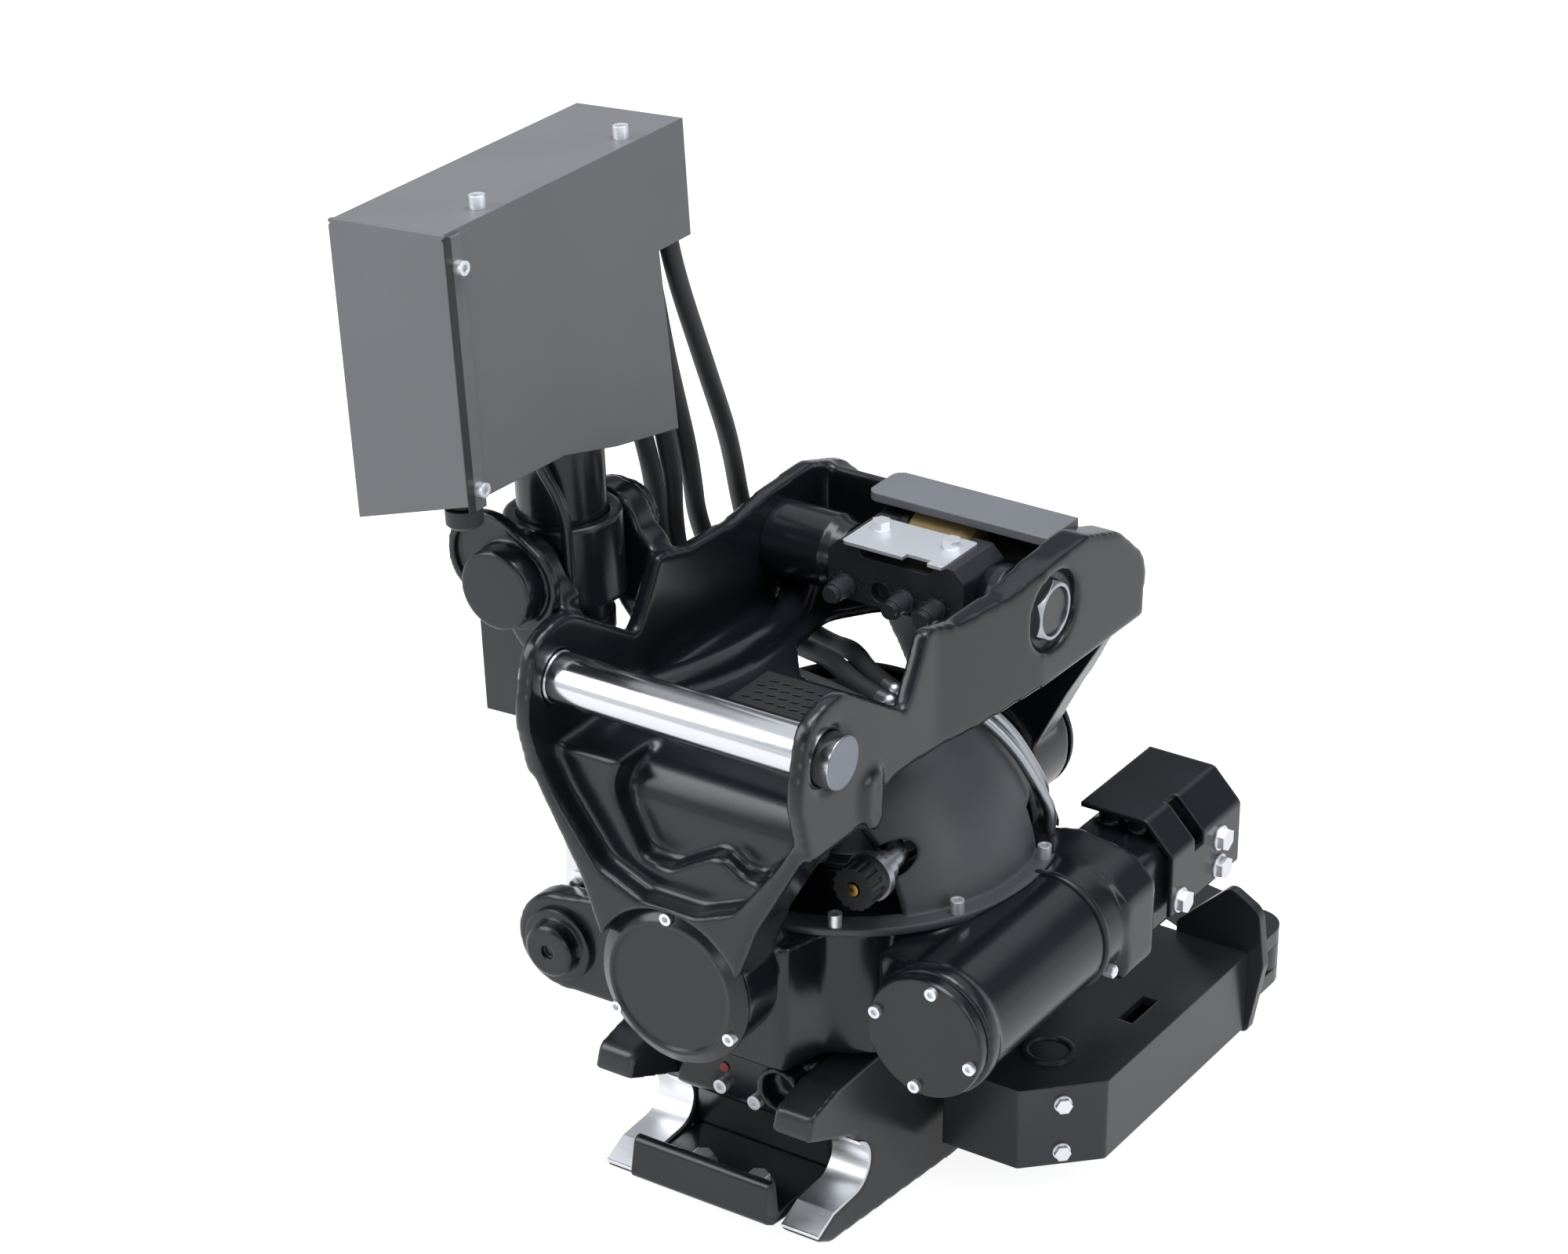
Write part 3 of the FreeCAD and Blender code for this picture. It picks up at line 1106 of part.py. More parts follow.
def jaw_side():
    """The right cheek of the quick coupler with its front hook and rear pin seat, and its liner."""
    y0, z0 = s.coupler_pin_y, s.coupler_pin_z
    yr = s.coupler_rear_pin_y
    r = s.pin_radius
    base = s.coupler_base
    top = s.coupler_top
    pts = [(y0 - 66, top - 27, 3), (y0 - 60, top - 8, 8), (y0 - 24, top, 10), (yr + 20, top, 30),
           (yr + 46, top - 40, 20), (yr + 46, z0 + 16, 6), (yr + 26, z0 + 12, 4), (yr + 18, base, 8),
           (y0 + 150, base, 60), (y0 - 34, z0 - 48, 6), (y0 - 52, z0 - 38, 5), (y0 - 54, z0 - 30, 2),
           (y0 + 12, z0, 2), (y0 + 4, z0 + 30, 2)]
    high = s.coupler_half_width
    inner = high - s.coupler_side_wall
    blank = slab("YZ", pts, inner, high)
    liner = cut(blank.common(jaw_mouth(s.jaw_liner)), [jaw_mouth(0)])
    zr = s.coupler_rear_pin_z
    seat = rod("X", (yr, zr), inner - 1, high + 1, r + 0.5)
    rear_mouth = box((inner - 1, yr - r - 0.5, base - 10), (high + 1, yr + r + 0.5, zr))
    lock_bore = rod("Y", (high - s.coupler_side_wall / 2, zr - r - 0.8 - s.lock_pin_radius), yr - 110, yr + 60,
                    s.lock_pin_radius + s.fit)
    cheek = cut(blank, [jaw_mouth(s.jaw_liner), seat, rear_mouth, lock_bore])
    return cheek, liner


def coupler_frame():
    y = s.rotor_y
    inner = s.coupler_half_width - s.coupler_side_wall
    deck = slab("XY", [(-inner, s.coupler_pin_y - 4), (inner, s.coupler_pin_y - 4),
                       (inner, s.coupler_rear_pin_y + 44), (-inner, s.coupler_rear_pin_y + 44)],
                s.coupler_top - 40, s.coupler_top)
    neck = rod("Z", (0, y), s.coupler_top, s.wheel_bottom, s.neck_radius)
    y0, z0 = s.coupler_pin_y, s.coupler_pin_z
    front = slab("YZ", [(y0 - 4, s.coupler_top - 10), (y0 + 40, s.coupler_top - 10), (y0 + 40, z0 - 30, 8),
                        (y0 + 24, z0 - 36, 6), (y0 + 22, z0 + 14, 6), (y0 + 10, z0 + 23, 6), (y0 - 4, z0 + 26, 4)],
                 -inner, inner)
    cross = box((-inner, s.coupler_rear_pin_y - 58, s.coupler_base + 14),
                (inner, s.coupler_rear_pin_y - 34, s.coupler_top - 30))
    boss = rod("Y", (45, s.coupler_top - 21), y0 - 26, y0, 20)
    shape = fuse([deck, neck, front, cross, boss])
    centre = rod("Z", (0, y), s.coupler_top - 90, s.wheel_bottom + 1, 50)
    boss_bore = rod("Y", (45, s.coupler_top - 21), y0 - 27, y0 - 8, 15)
    solid("coupler_frame", cut(shape, [centre, boss_bore]))
    cheek, liner = jaw_side()
    solid("right_cheek", cheek)
    solid("left_cheek", mirrored(cheek))
    solid("jaw_liners", both_sides([liner]))


def lock_plate():
    """The front lock bar between the jaws, on a floor that passes under the attachment's pin."""
    y0, z0 = s.coupler_pin_y, s.coupler_pin_z
    half = s.coupler_half_width - s.coupler_side_wall - 3
    bar = slab("YZ", [(y0 - 66, z0 + 8, 6), (y0 - 57, z0 + 9, 4), (y0 - 52, z0 - 24, 3),
                      (y0 + 23, z0 - 24), (y0 + 23, z0 - 33), (y0 - 44, z0 - 33, 4), (y0 - 60, z0 - 31, 6),
                      (y0 - 72, z0 - 24, 6)], -half, half)
    solid("front_lock_plate", bar)


def gripper_outline():
    """A gripper cassette seen from above."""
    w = s.gripper_outer
    corner = s.gripper_chamfer
    return [(s.gripper_inner, s.gripper_front), (w - corner, s.gripper_front, 4), (w, s.gripper_front + corner, 6),
            (w, s.gripper_back), (s.gripper_inner, s.gripper_back)]


def finger_pin_y():
    return s.gripper_back + s.end_plate + s.knuckle_radius + 1.5


def gripper_case():
    """The right cassette's welded case with its arm to the coupler cheek and its round plug."""
    t = s.gripper_wall
    low, high = s.gripper_bottom, s.gripper_top
    outer = slab("XY", gripper_outline(), low, high)
    corner = s.gripper_chamfer
    inner = [(s.gripper_inner + t, s.gripper_front + t), (s.gripper_outer - corner - t * 0.4, s.gripper_front + t, 4),
             (s.gripper_outer - t, s.gripper_front + corner + t * 0.4, 6), (s.gripper_outer - t, s.gripper_back + 1),
             (s.gripper_inner + t, s.gripper_back + 1)]
    hollow = slab("XY", inner, low + t, high - t)
    arm = box((s.coupler_half_width, s.gripper_front + 40, high - 36), (s.gripper_inner + 1, s.gripper_back - 60, high - 4))
    slot = box((s.gripper_outer - 40, 330, high - t - 1), (s.gripper_outer - 26, 372, high + 1))
    at = (s.gripper_plug_x, s.gripper_plug_y)
    plug = rod("Z", at, high, high + 3, 21).cut(rod("Z", at, high + 1, high + 4, 17))
    case = cut(outer, [hollow]).fuse([arm, plug]).removeSplitter()
    return cut(case, [slot])


def gripper_end_plate():
    low, high = s.gripper_bottom, s.gripper_top
    x = s.finger_pin_x - 50
    outer = s.gripper_outer
    points = [(x, low + 10, 6), (outer + 2, low - 6, 6), (outer + 14, high - 10, 10), (outer + 8, high + 40, 16),
              (outer - 20, high + 56, 10), (x, high + 10, 10)]
    return slab("XZ", points, s.gripper_back + s.fit, s.gripper_back + s.end_plate)


def gripper_screw(level):
    """A hexagon screw on the cassette's slanted corner."""
    half = s.gripper_chamfer / 2
    at = Vector(s.gripper_outer - half, s.gripper_front + half, level)
    screw = hex_screw(at, "-Y", s.hex_bolt_flats, s.hex_bolt_height)
    screw.rotate(at, Vector(0, 0, 1), 45)
    return screw


def gripper_knuckles():
    """The two fixed knuckles of the finger hinge behind the end plate."""
    x, y = s.finger_pin_x, finger_pin_y()
    t, g, r = s.finger_thickness, s.seat_gap, s.knuckle_radius
    ears = []
    for low in (s.finger_top + g, s.finger_top - t - g - s.knuckle_height):
        high = low + s.knuckle_height
        ear = rod("Z", (x, y), low, high, r).fuse(box((x - r, s.gripper_back + s.end_plate, low), (x + r, y, high)))
        ears.append(cut(ear.removeSplitter(), [rod("Z", (x, y), low - 1, high + 1, s.finger_pin_radius)]))
    return ears


def gripper_pin():
    low = s.finger_top - s.finger_thickness - s.seat_gap - s.knuckle_height - 4
    high = s.finger_top + s.seat_gap + s.knuckle_height + 4
    return rod("Z", (s.finger_pin_x, finger_pin_y()), low, high, s.finger_pin_radius - s.fit)


def gripper_finger():
    """The curved finger, closed across the back of the coupler."""
    x, y, r = s.finger_pin_x, finger_pin_y(), s.knuckle_radius
    low, high = s.finger_top - s.finger_thickness, s.finger_top
    arm = slab("XY", [(x + 4, y + r - 1), (x - 20, y + r + 26, 20), (x - 120, y + r + 44, 60), (x - 196, y + r + 20, 10),
                      (x - 200, y + r + 4, 4), (x - 120, y + r + 10, 50), (x - 30, y - 4, 16), (x - r + 2, y - 12)],
               low, high)
    finger = rod("Z", (x, y), low, high, r).fuse(arm).removeSplitter()
    return cut(finger, [rod("Z", (x, y), low - 1, high + 1, s.finger_pin_radius)])


def gripper_cylinder():
    """The finger's cylinder inside the case, on the pivot under the plug."""
    x, y = s.gripper_plug_x, s.gripper_plug_y
    z = (s.gripper_bottom + s.gripper_top) / 2
    low, high = s.gripper_bottom + s.gripper_wall, s.gripper_top - s.gripper_wall
    pivot = rod("Z", (x, y), low, high, 14)
    reach = (s.gripper_back - y) * 0.66
    barrel = rod("Y", (x, z), y + 8, y + reach, 24)
    ram = rod("Y", (x, z), y + reach, s.gripper_back, 12)
    return fuse([pivot, barrel, ram])


def both_sides(shapes):
    return Part.makeCompound(shapes + [mirrored(shape) for shape in shapes])


def grippers():
    solid("gripper_cases", both_sides([gripper_case()]))
    solid("gripper_end_plates", both_sides([fuse([gripper_end_plate()] + gripper_knuckles())]))
    solid("gripper_cylinders", both_sides([gripper_cylinder()]))
    solid("gripper_pins", both_sides([gripper_pin()]))
    solid("gripper_finger_right", gripper_finger())
    solid("gripper_finger_left", mirrored(gripper_finger()))
    screws = [gripper_screw(level) for level in (s.gripper_top - 16, s.gripper_top - 60)]
    screws += [mirrored(screw) for screw in screws]
    y0, z0 = s.coupler_pin_y, s.coupler_pin_z
    screws += [socket_screw(Vector(x, y0 - 4, z0 + level), "-Y", 6, 6) for x, level in ((-20, 40), (12, 36))]
    screws += [hex_screw(Vector(x, y0 - 38, z0 - 24), "Z", s.hex_bolt_flats * 0.85, 6) for x in (-22, 32)]
    solid("coupler_screws", Part.makeCompound(screws))


def lock_pins():
    """The two pins that slide rearwards under the attachment's rear pin."""
    pins = []
    x = s.coupler_half_width - s.coupler_side_wall / 2
    z = s.coupler_rear_pin_z - s.pin_radius - 0.8 - s.lock_pin_radius
    for side in (-x, x):
        pins.append(rod("Y", (side, z), s.coupler_rear_pin_y - 80, s.coupler_rear_pin_y + 34, s.lock_pin_radius))
    solid("lock_pins", Part.makeCompound(pins))


def hoses():
    """The four oil hoses from the manifold under the cover to the swivel's top."""
    for number, route in enumerate(HOSE_ROUTES, 1):
        solid("hose_%d" % number, tube(route, s.hose_radius))


def build_hitch():
    hitch_frame()
    hitch_pins()
    screws = tilt_covers() + hydraulic_block()
    solid("hitch_screws", Part.makeCompound(screws))
    hitch_top_parts()
    trunnion_caps()
    hoses()


def build_cylinder():
    tilt_cylinder()
    piston_and_rod()
    cover_box()
    cylinder_trim()


def build_rotor_housing():
    rotor_housing()
    lug_pin_ends()
    screws = dome() + worm_end_cap() + worm_motor()
    solid("housing_screws", Part.makeCompound(screws))
    swivel()
    dome_pipes()
    front_connector()


def build_coupler():
    worm_drive()
    coupler_frame()
    lock_plate()
    lock_pins()
    grippers()


def write_parts():
    doc.recompute()
    for item in doc.Objects:
        if "Invalid" in item.State or "Error" in item.State:
            raise RuntimeError("%s failed: %s" % (item.Label, item.State))
    for item in subparts:
        if item.Shape.isNull() or not item.Shape.isValid():
            raise RuntimeError("%s has no valid shape" % item.Label)
        count = len(item.Shape.Solids)
        print("%-24s solids %d volume %.1f cm3" % (item.Label, count, item.Shape.Volume / 1000))
        item.Shape.exportStep("parts/%s.step" % item.Label)


build_hitch()
build_cylinder()
build_rotor_housing()
build_coupler()
write_parts()
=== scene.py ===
import bmesh
import bpy
import math
from mathutils import Matrix, Vector


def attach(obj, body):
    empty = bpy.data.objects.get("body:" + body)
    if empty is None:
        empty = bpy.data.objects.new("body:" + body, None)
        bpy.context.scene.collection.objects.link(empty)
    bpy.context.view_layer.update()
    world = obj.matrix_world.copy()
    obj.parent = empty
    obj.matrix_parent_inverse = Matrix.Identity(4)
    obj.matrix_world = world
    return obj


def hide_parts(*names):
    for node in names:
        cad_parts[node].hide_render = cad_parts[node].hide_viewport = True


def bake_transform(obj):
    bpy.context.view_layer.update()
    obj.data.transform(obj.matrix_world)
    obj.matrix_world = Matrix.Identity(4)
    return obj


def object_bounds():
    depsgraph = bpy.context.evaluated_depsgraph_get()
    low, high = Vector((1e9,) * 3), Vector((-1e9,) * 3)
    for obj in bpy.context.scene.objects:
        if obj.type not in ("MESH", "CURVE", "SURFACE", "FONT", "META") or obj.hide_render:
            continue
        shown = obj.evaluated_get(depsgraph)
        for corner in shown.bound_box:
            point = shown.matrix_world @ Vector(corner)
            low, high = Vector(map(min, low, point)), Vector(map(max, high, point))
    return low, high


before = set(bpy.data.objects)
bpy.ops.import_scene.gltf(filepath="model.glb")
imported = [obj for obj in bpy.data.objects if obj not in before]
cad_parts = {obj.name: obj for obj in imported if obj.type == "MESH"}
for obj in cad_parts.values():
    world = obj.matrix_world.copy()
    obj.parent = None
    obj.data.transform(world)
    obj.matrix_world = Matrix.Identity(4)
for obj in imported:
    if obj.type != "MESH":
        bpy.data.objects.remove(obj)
cad_box = [[float(c) for c in corner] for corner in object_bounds()]
scene = bpy.context.scene
scene.view_settings.view_transform = "Standard"

MM = 0.001
WELD = 0.00001  # metres: corners nearer than this are one corner
QUARTER_TURN = math.radians(90)

# The camera as fitted to the photograph: degrees, metres and millimetres.
CAMERA_AZIMUTH, CAMERA_HEIGHT = 33.27, 26.15
CAMERA_PLACE = (1.5711, -2.2628, 1.4242)
CAMERA_LENS, CAMERA_SENSOR = 97.02, 36


def set_camera():
    """The photograph's view: a long lens, above the right front corner."""
    azimuth, height = math.radians(CAMERA_AZIMUTH), math.radians(CAMERA_HEIGHT)
    right = Vector((math.cos(azimuth), math.sin(azimuth), 0))
    back = Vector((math.sin(azimuth) * math.cos(height),
                   -math.cos(azimuth) * math.cos(height),
                   math.sin(height)))
    up = back.cross(right)
    data = bpy.data.cameras.new("photo_camera")
    data.sensor_width = CAMERA_SENSOR
    data.lens = CAMERA_LENS
    data.clip_end = 50
    camera = bpy.data.objects.new("photo_camera", data)
    turn = Matrix((right, up, back)).transposed().to_4x4()
    camera.matrix_world = Matrix.Translation(Vector(CAMERA_PLACE)) @ turn
    scene.collection.objects.link(camera)
    scene.camera = camera


def linear(code):
    """An sRGB hex colour as linear numbers."""
    parts = [int(code[i:i + 2], 16) / 255 for i in (1, 3, 5)]
    return tuple([(c / 12.92 if c <= 0.04045 else ((c + 0.055) / 1.055) ** 2.4) for c in parts] + [1.0])


def node(tree, kind, settings=None, links=None, **values):
    """Adds a node, with its attributes, its input values and the links into it."""
    made = tree.nodes.new(kind)
    for name, value in (settings or {}).items():
        setattr(made, name, value)
    for name, value in values.items():
        made.inputs[name.replace("_", " ")].default_value = value
    for name, source in (links or {}).items():
        tree.links.new(source, made.inputs[name])
    return made


def new_material(name):
    """An empty material with a surface shader and the object's own coordinates."""
    material = bpy.data.materials.new(name)
    material.use_nodes = True
    tree = material.node_tree
    shader = tree.nodes["Principled BSDF"]
    place = node(tree, "ShaderNodeTexCoord")
    return material, tree, shader, place.outputs["Object"]


# Paint changes tone over patches of this size, between these two levels of the noise.
PATCH_MM, PATCH_LOW, PATCH_HIGH = 70, 0.35, 0.7
# Height of the paint's skin and of the tool marks, and the edge radius of bare metal.
SKIN_MM, MARK_MM, METAL_EDGE_MM = 0.4, 0.2, 0.8


def painted(name, colour, patch_colour, roughness, spread, grain_mm, depth, edge_mm):
    """Paint with slow changes of tone and gloss, a fine surface and softened edges."""
    material, tree, shader, place = new_material(name)
    patch = node(tree, "ShaderNodeTexNoise", links={"Vector": place}, Scale=1 / (PATCH_MM * MM), Detail=4)
    tone = node(tree, "ShaderNodeValToRGB", links={"Fac": patch.outputs["Fac"]})
    low, high = tone.color_ramp.elements
    low.position, low.color = PATCH_LOW, linear(colour)
    high.position, high.color = PATCH_HIGH, linear(patch_colour)
    tree.links.new(tone.outputs["Color"], shader.inputs["Base Color"])
    gloss = node(tree, "ShaderNodeMapRange", links={"Value": patch.outputs["Fac"]},
                 To_Min=roughness - spread, To_Max=roughness + spread)
    tree.links.new(gloss.outputs["Result"], shader.inputs["Roughness"])
    soft = node(tree, "ShaderNodeBevel", {"samples": 6}, Radius=edge_mm * MM)
    skin = node(tree, "ShaderNodeTexNoise", links={"Vector": place}, Scale=1 / (grain_mm * MM), Detail=3)
    bump = node(tree, "ShaderNodeBump", Strength=depth, Distance=SKIN_MM * MM,
                links={"Height": skin.outputs["Fac"], "Normal": soft.outputs["Normal"]})
    tree.links.new(bump.outputs["Normal"], shader.inputs["Normal"])
    return material


def metal(name, colour, roughness, mark_mm, depth, stretch):
    """Bare metal with fine tool marks drawn out along one direction."""
    material, tree, shader, place = new_material(name)
    shader.inputs["Base Color"].default_value = linear(colour)
    shader.inputs["Metallic"].default_value = 1.0
    turn = node(tree, "ShaderNodeMapping", links={"Vector": place}, Scale=stretch)
    marks = node(tree, "ShaderNodeTexNoise", links={"Vector": turn.outputs["Vector"]},
                 Scale=1 / (mark_mm * MM), Detail=4)
    gloss = node(tree, "ShaderNodeMapRange", links={"Value": marks.outputs["Fac"]},
                 To_Min=roughness * 0.75, To_Max=roughness * 1.3)
    tree.links.new(gloss.outputs["Result"], shader.inputs["Roughness"])
    soft = node(tree, "ShaderNodeBevel", {"samples": 4}, Radius=METAL_EDGE_MM * MM)
    bump = node(tree, "ShaderNodeBump", Strength=depth, Distance=MARK_MM * MM,
                links={"Height": marks.outputs["Fac"], "Normal": soft.outputs["Normal"]})
    tree.links.new(bump.outputs["Normal"], shader.inputs["Normal"])
    return material


# Each paint: colour, second colour of its patches, roughness and its spread, grain in mm, the strength
# of the grain, and edge radius in mm.
PAINTS = {
    # Two-pack paint over a blasted casting: near black, half gloss, slightly uneven.
    "casting_paint": ("#15171c", "#1b1d23", 0.21, 0.04, 3.0, 0.06, 3),
    # The same paint, thinner and a shade lighter, on flame-cut plates and the cassettes.
    "plate_paint": ("#2a2c30", "#303237", 0.24, 0.04, 2.0, 0.06, 2),
    # Pressed sheet in satin charcoal paint, flatter than the castings.
    "dome_paint": ("#484a4e", "#4c4e52", 0.42, 0.05, 2.0, 0.06, 4),
    # Grey powder coat on folded sheet: very fine orange peel.
    "powder_coat": ("#67686b", "#6b6c6f", 0.50, 0.04, 1.2, 0.10, 1.2),
    # The cross bar's folded sheet in a lighter satin grey: partly its own grey, partly painted light standing
    # in for the overhead light on its top.
    "grey_sheet_and_painted_light": ("#73757a", "#787a80", 0.36, 0.04, 1.5, 0.06, 1.2),
    # The coupling block, milled from bar and painted thinly.
    "block_paint": ("#2b2c31", "#323338", 0.27, 0.05, 2.0, 0.06, 1.6),
    # Black powder coat on the grip plate and the rod's guard, dull and slightly rough.
    "black_sheet": ("#242527", "#2a2b2d", 0.42, 0.05, 1.5, 0.08, 1.2),
    # Machined and black-oxided steel of small parts; on the rear pin's end the same dark finish is painted
    # shade of its recess in the nut.
    "black_oxide_and_painted_shade": ("#34363a", "#3e4044", 0.28, 0.06, 1.2, 0.10, 1),
    # Nylon and polypropylene mouldings, evenly matte.
    "black_plastic": ("#18191a", "#1d1e1f", 0.45, 0.05, 0.8, 0.10, 1),
    # Vulcanised cover of a hydraulic hose, matte with a cloth print too fine to see whole.
    "hose_rubber": ("#303133", "#36373a", 0.55, 0.05, 1.0, 0.25, 0.8),
    # Grainy bronze lacquer of the pressure vessel: coarse flakes in a brown coat.
    "bronze_lacquer": ("#7d6644", "#a08658", 0.48, 0.08, 1.6, 0.6, 1),
    # Moulded plug in a dull red plastic.
    "red_plug": ("#7c2a28", "#8a3230", 0.5, 0.05, 1.0, 0.2, 0.8),
}

# Each metal: colour, roughness, the size of its tool marks in mm, their strength, and the scale along
# X, Y and Z that draws them out.
METALS = {
    # Hard chrome: a nearly clear mirror, with faint marks drawn out along X, the pins' axis.
    "hard_chrome": ("#dfe0e3", 0.16, 0.7, 0.05, (0.08, 1, 1)),
    # Turned and milled steel, bare and oiled: a soft grey shine.
    "machined_steel": ("#b4b7bd", 0.32, 1.0, 0.10, (0.15, 1, 1)),
    # End faces turned in a lathe and left bare, duller than the chrome.
    "faced_steel": ("#8d9099", 0.42, 0.9, 0.15, (1, 1, 1)),
    # Freshly cut jaw faces, the palest steel on the part, with a broad shine.
    "jaw_steel": ("#f6f7fa", 0.38, 1.2, 0.10, (0.1, 1, 1)),
    # Zinc plate on screws and fittings: pale, slightly cloudy.
    "zinc_plate": ("#eef0f4", 0.46, 0.9, 0.10, (1, 1, 1)),
    # Turned brass contact in the connector.
    "brass": ("#b58a44", 0.3, 0.8, 0.10, (1, 1, 1)),
    # Cast and hobbed bronze of the worm wheel.
    "wheel_bronze": ("#b07a3c", 0.38, 1.2, 0.15, (1, 1, 1)),
}

FINISHES = {}


def make_finishes():
    """One material for each paint and metal."""
    for name, values in PAINTS.items():
        FINISHES[name] = painted(name, *values)
    for name, values in METALS.items():
        FINISHES[name] = metal(name, *values)


SURFACES = {
    "casting_paint": ["hitch_frame", "tilt_covers", "pin_sleeves", "trunnion_caps", "cylinder_barrel",
                      "cylinder_gland", "trunnion_ring", "oil_pipe", "hose_manifold", "rotor_housing",
                      "lug_pins", "worm_end_cap", "drive_motor", "motor_guard", "coupler_frame",
                      "front_lock_plate", "gripper_cylinders"],
    "plate_paint": ["right_cheek", "left_cheek", "gripper_cases", "gripper_end_plates",
                    "gripper_finger_right", "gripper_finger_left"],
    "dome_paint": ["dome_cover"],
    "powder_coat": ["cover_box", "cover_front_panel"],
    "grey_sheet_and_painted_light": ["rear_crossbar"],
    "block_paint": ["hydraulic_block"],
    "black_sheet": ["grip_plate", "rod_guard"],
    "black_plastic": ["oil_filter", "cover_corner_strip", "cable_plug", "connector_cap"],
    "black_oxide_and_painted_shade": ["coupling_nipples"],
    "hard_chrome": ["front_pin", "piston_rod"],
    "machined_steel": ["rear_pin", "rear_pin_nut", "tilt_journals", "eye_pin", "piston", "worm_shaft",
                       "lock_pins", "gripper_pins", "oil_swivel", "connector_ring", "dome_pipes"],
    "jaw_steel": ["jaw_liners"],
    "zinc_plate": ["block_plate", "hitch_screws", "cover_screws", "housing_screws", "coupler_screws"],
    "wheel_bronze": ["worm_wheel"],
    "bronze_lacquer": ["bronze_accumulator"],
}


def dress_nodes():
    """Gives every carried-over solid its finish."""
    for finish, names in SURFACES.items():
        for name in names:
            part = bpy.data.objects[name]
            part.data.materials.clear()
            part.data.materials.append(FINISHES[finish])


def finish_piece(name, bm, finish, body, smooth=True):
    """Turns a bmesh into an object that rides on a body."""
    bmesh.ops.recalc_face_normals(bm, faces=bm.faces)
    mesh = bpy.data.meshes.new(name)
    bm.to_mesh(mesh)
    bm.free()
    for face in mesh.polygons:
        face.use_smooth = smooth
    piece = bpy.data.objects.new(name, mesh)
    scene.collection.objects.link(piece)
    mesh.materials.append(FINISHES[finish])
    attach(piece, body)
    return piece


# Each casting: the grid's size in mm, the body it rides on, and how often its blends are eased.
CAST_NODES = {"hitch_frame": (2.8, "hitch", 7), "rotor_housing": (2.8, "housing", 5),
              "coupler_frame": (2.6, "coupler", 4), "right_cheek": (2.2, "coupler", 3),
              "left_cheek": (2.2, "coupler", 3), "drive_motor": (2.0, "housing", 4),
              "trunnion_caps": (1.6, "hitch", 2), "trunnion_ring": (1.8, "tilt_barrel", 4)}


def round_castings():
    """Castings with the soft edges and hollow blends that a sand mould leaves."""
    for name, (grid_mm, body, passes) in CAST_NODES.items():
        solid = bpy.data.objects[name]
        mesh = solid.data.copy()
        bm = bmesh.new()
        bm.from_mesh(mesh)
        bmesh.ops.remove_doubles(bm, verts=bm.verts, dist=WELD)
        bm.to_mesh(mesh)
        bm.free()
        rough = bpy.data.objects.new("cast_" + name, mesh)
        scene.collection.objects.link(rough)
        grid = rough.modifiers.new("sand_grid", "REMESH")
        grid.mode = "VOXEL"
        grid.voxel_size = grid_mm * MM
        grid.use_smooth_shade = True
        ease = rough.modifiers.new("mould_blend", "SMOOTH")
        ease.factor = 0.5
        ease.iterations = passes
        bpy.context.view_layer.update()
        built = bpy.context.evaluated_depsgraph_get()
        shaped = bpy.data.meshes.new_from_object(rough.evaluated_get(built))
        rough.modifiers.clear()
        rough.data = shaped
        shaped.materials.clear()
        shaped.materials.append(solid.data.materials[0])
        for face in shaped.polygons:
            face.use_smooth = True
        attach(rough, body)
        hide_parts(name)


# The solids' route points in mm, from the manifold down behind the left plate to the swivel.
HOSE_ROUTES = [
    [(-153, 199, 298), (-152, 202, 276), (-151, 216, 233), (-150, 237, 183), (-152, 261, 134),
     (-159, 289, 89), (-170, 316, 48), (-176, 334, 6), (-167, 337, -35), (-143, 332, -68),
     (-107, 321, -87), (-68, 306, -87), (-31, 281, -72), (-6, 261, -75), (20, 249, -76)],
    [(-168, 188, 298), (-167, 191, 276), (-159, 193, 235), (-154, 199, 186), (-154, 215, 136),
     (-160, 237, 90), (-171, 260, 49), (-181, 279, 12), (-176, 290, -25), (-156, 294, -58),
     (-124, 293, -79), (-87, 285, -85), (-43, 264, -75), (2, 235, -76), (27, 228, -76)],
    [(-172, 169, 298), (-171, 172, 276), (-166, 175, 236), (-160, 181, 189), (-157, 194, 141),
     (-161, 212, 97), (-172, 234, 60), (-182, 248, 24), (-181, 253, -13), (-166, 251, -47),
     (-140, 243, -72), (-106, 235, -82), (-61, 225, -77), (-11, 217, -76), (14, 210, -76)],
    [(-184, 154, 298), (-183, 157, 276), (-177, 160, 237), (-170, 165, 190), (-166, 176, 143),
     (-167, 193, 100), (-175, 213, 61), (-185, 229, 26), (-183, 235, -11), (-169, 232, -44),
     (-143, 224, -70), (-110, 214, -81), (-72, 204, -78), (-27, 201, -76), (-2, 194, -76)],
]
# The hoses' radius, in metres.
HOSE_RADIUS = 0.008


def mesh_of(data):
    """The mesh that a curve's data gives, and no object left behind."""
    holder = bpy.data.objects.new("holder", data)
    scene.collection.objects.link(holder)
    mesh = bpy.data.meshes.new_from_object(holder)
    bpy.data.objects.remove(holder)
    return mesh


def hang_hoses():
    """The four hoses as smooth tubes along the solids' route points."""
    for number, route in enumerate(HOSE_ROUTES, 1):
        name = "oil_hose_%d" % number
        curve = bpy.data.curves.new(name, "CURVE")
        curve.dimensions = "3D"
        spline = curve.splines.new("NURBS")
        spline.points.add(len(route) - 1)
        for point, spot in zip(spline.points, route):
            point.co = (spot[0] * MM, spot[1] * MM, spot[2] * MM, 1)
        spline.order_u = 3
        spline.use_endpoint_u = True
        curve.resolution_u = 12
        line = [tuple(v.co) for v in mesh_of(curve).vertices]
        curve.bevel_depth = HOSE_RADIUS
        curve.bevel_resolution = 6
        curve.use_fill_caps = True
        curve.materials.append(FINISHES["hose_rubber"])
        hose = bpy.data.objects.new(name, mesh_of(curve))
        scene.collection.objects.link(hose)
        for face in hose.data.polygons:
            face.use_smooth = True
        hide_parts("hose_%d" % number)
        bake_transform(hose)


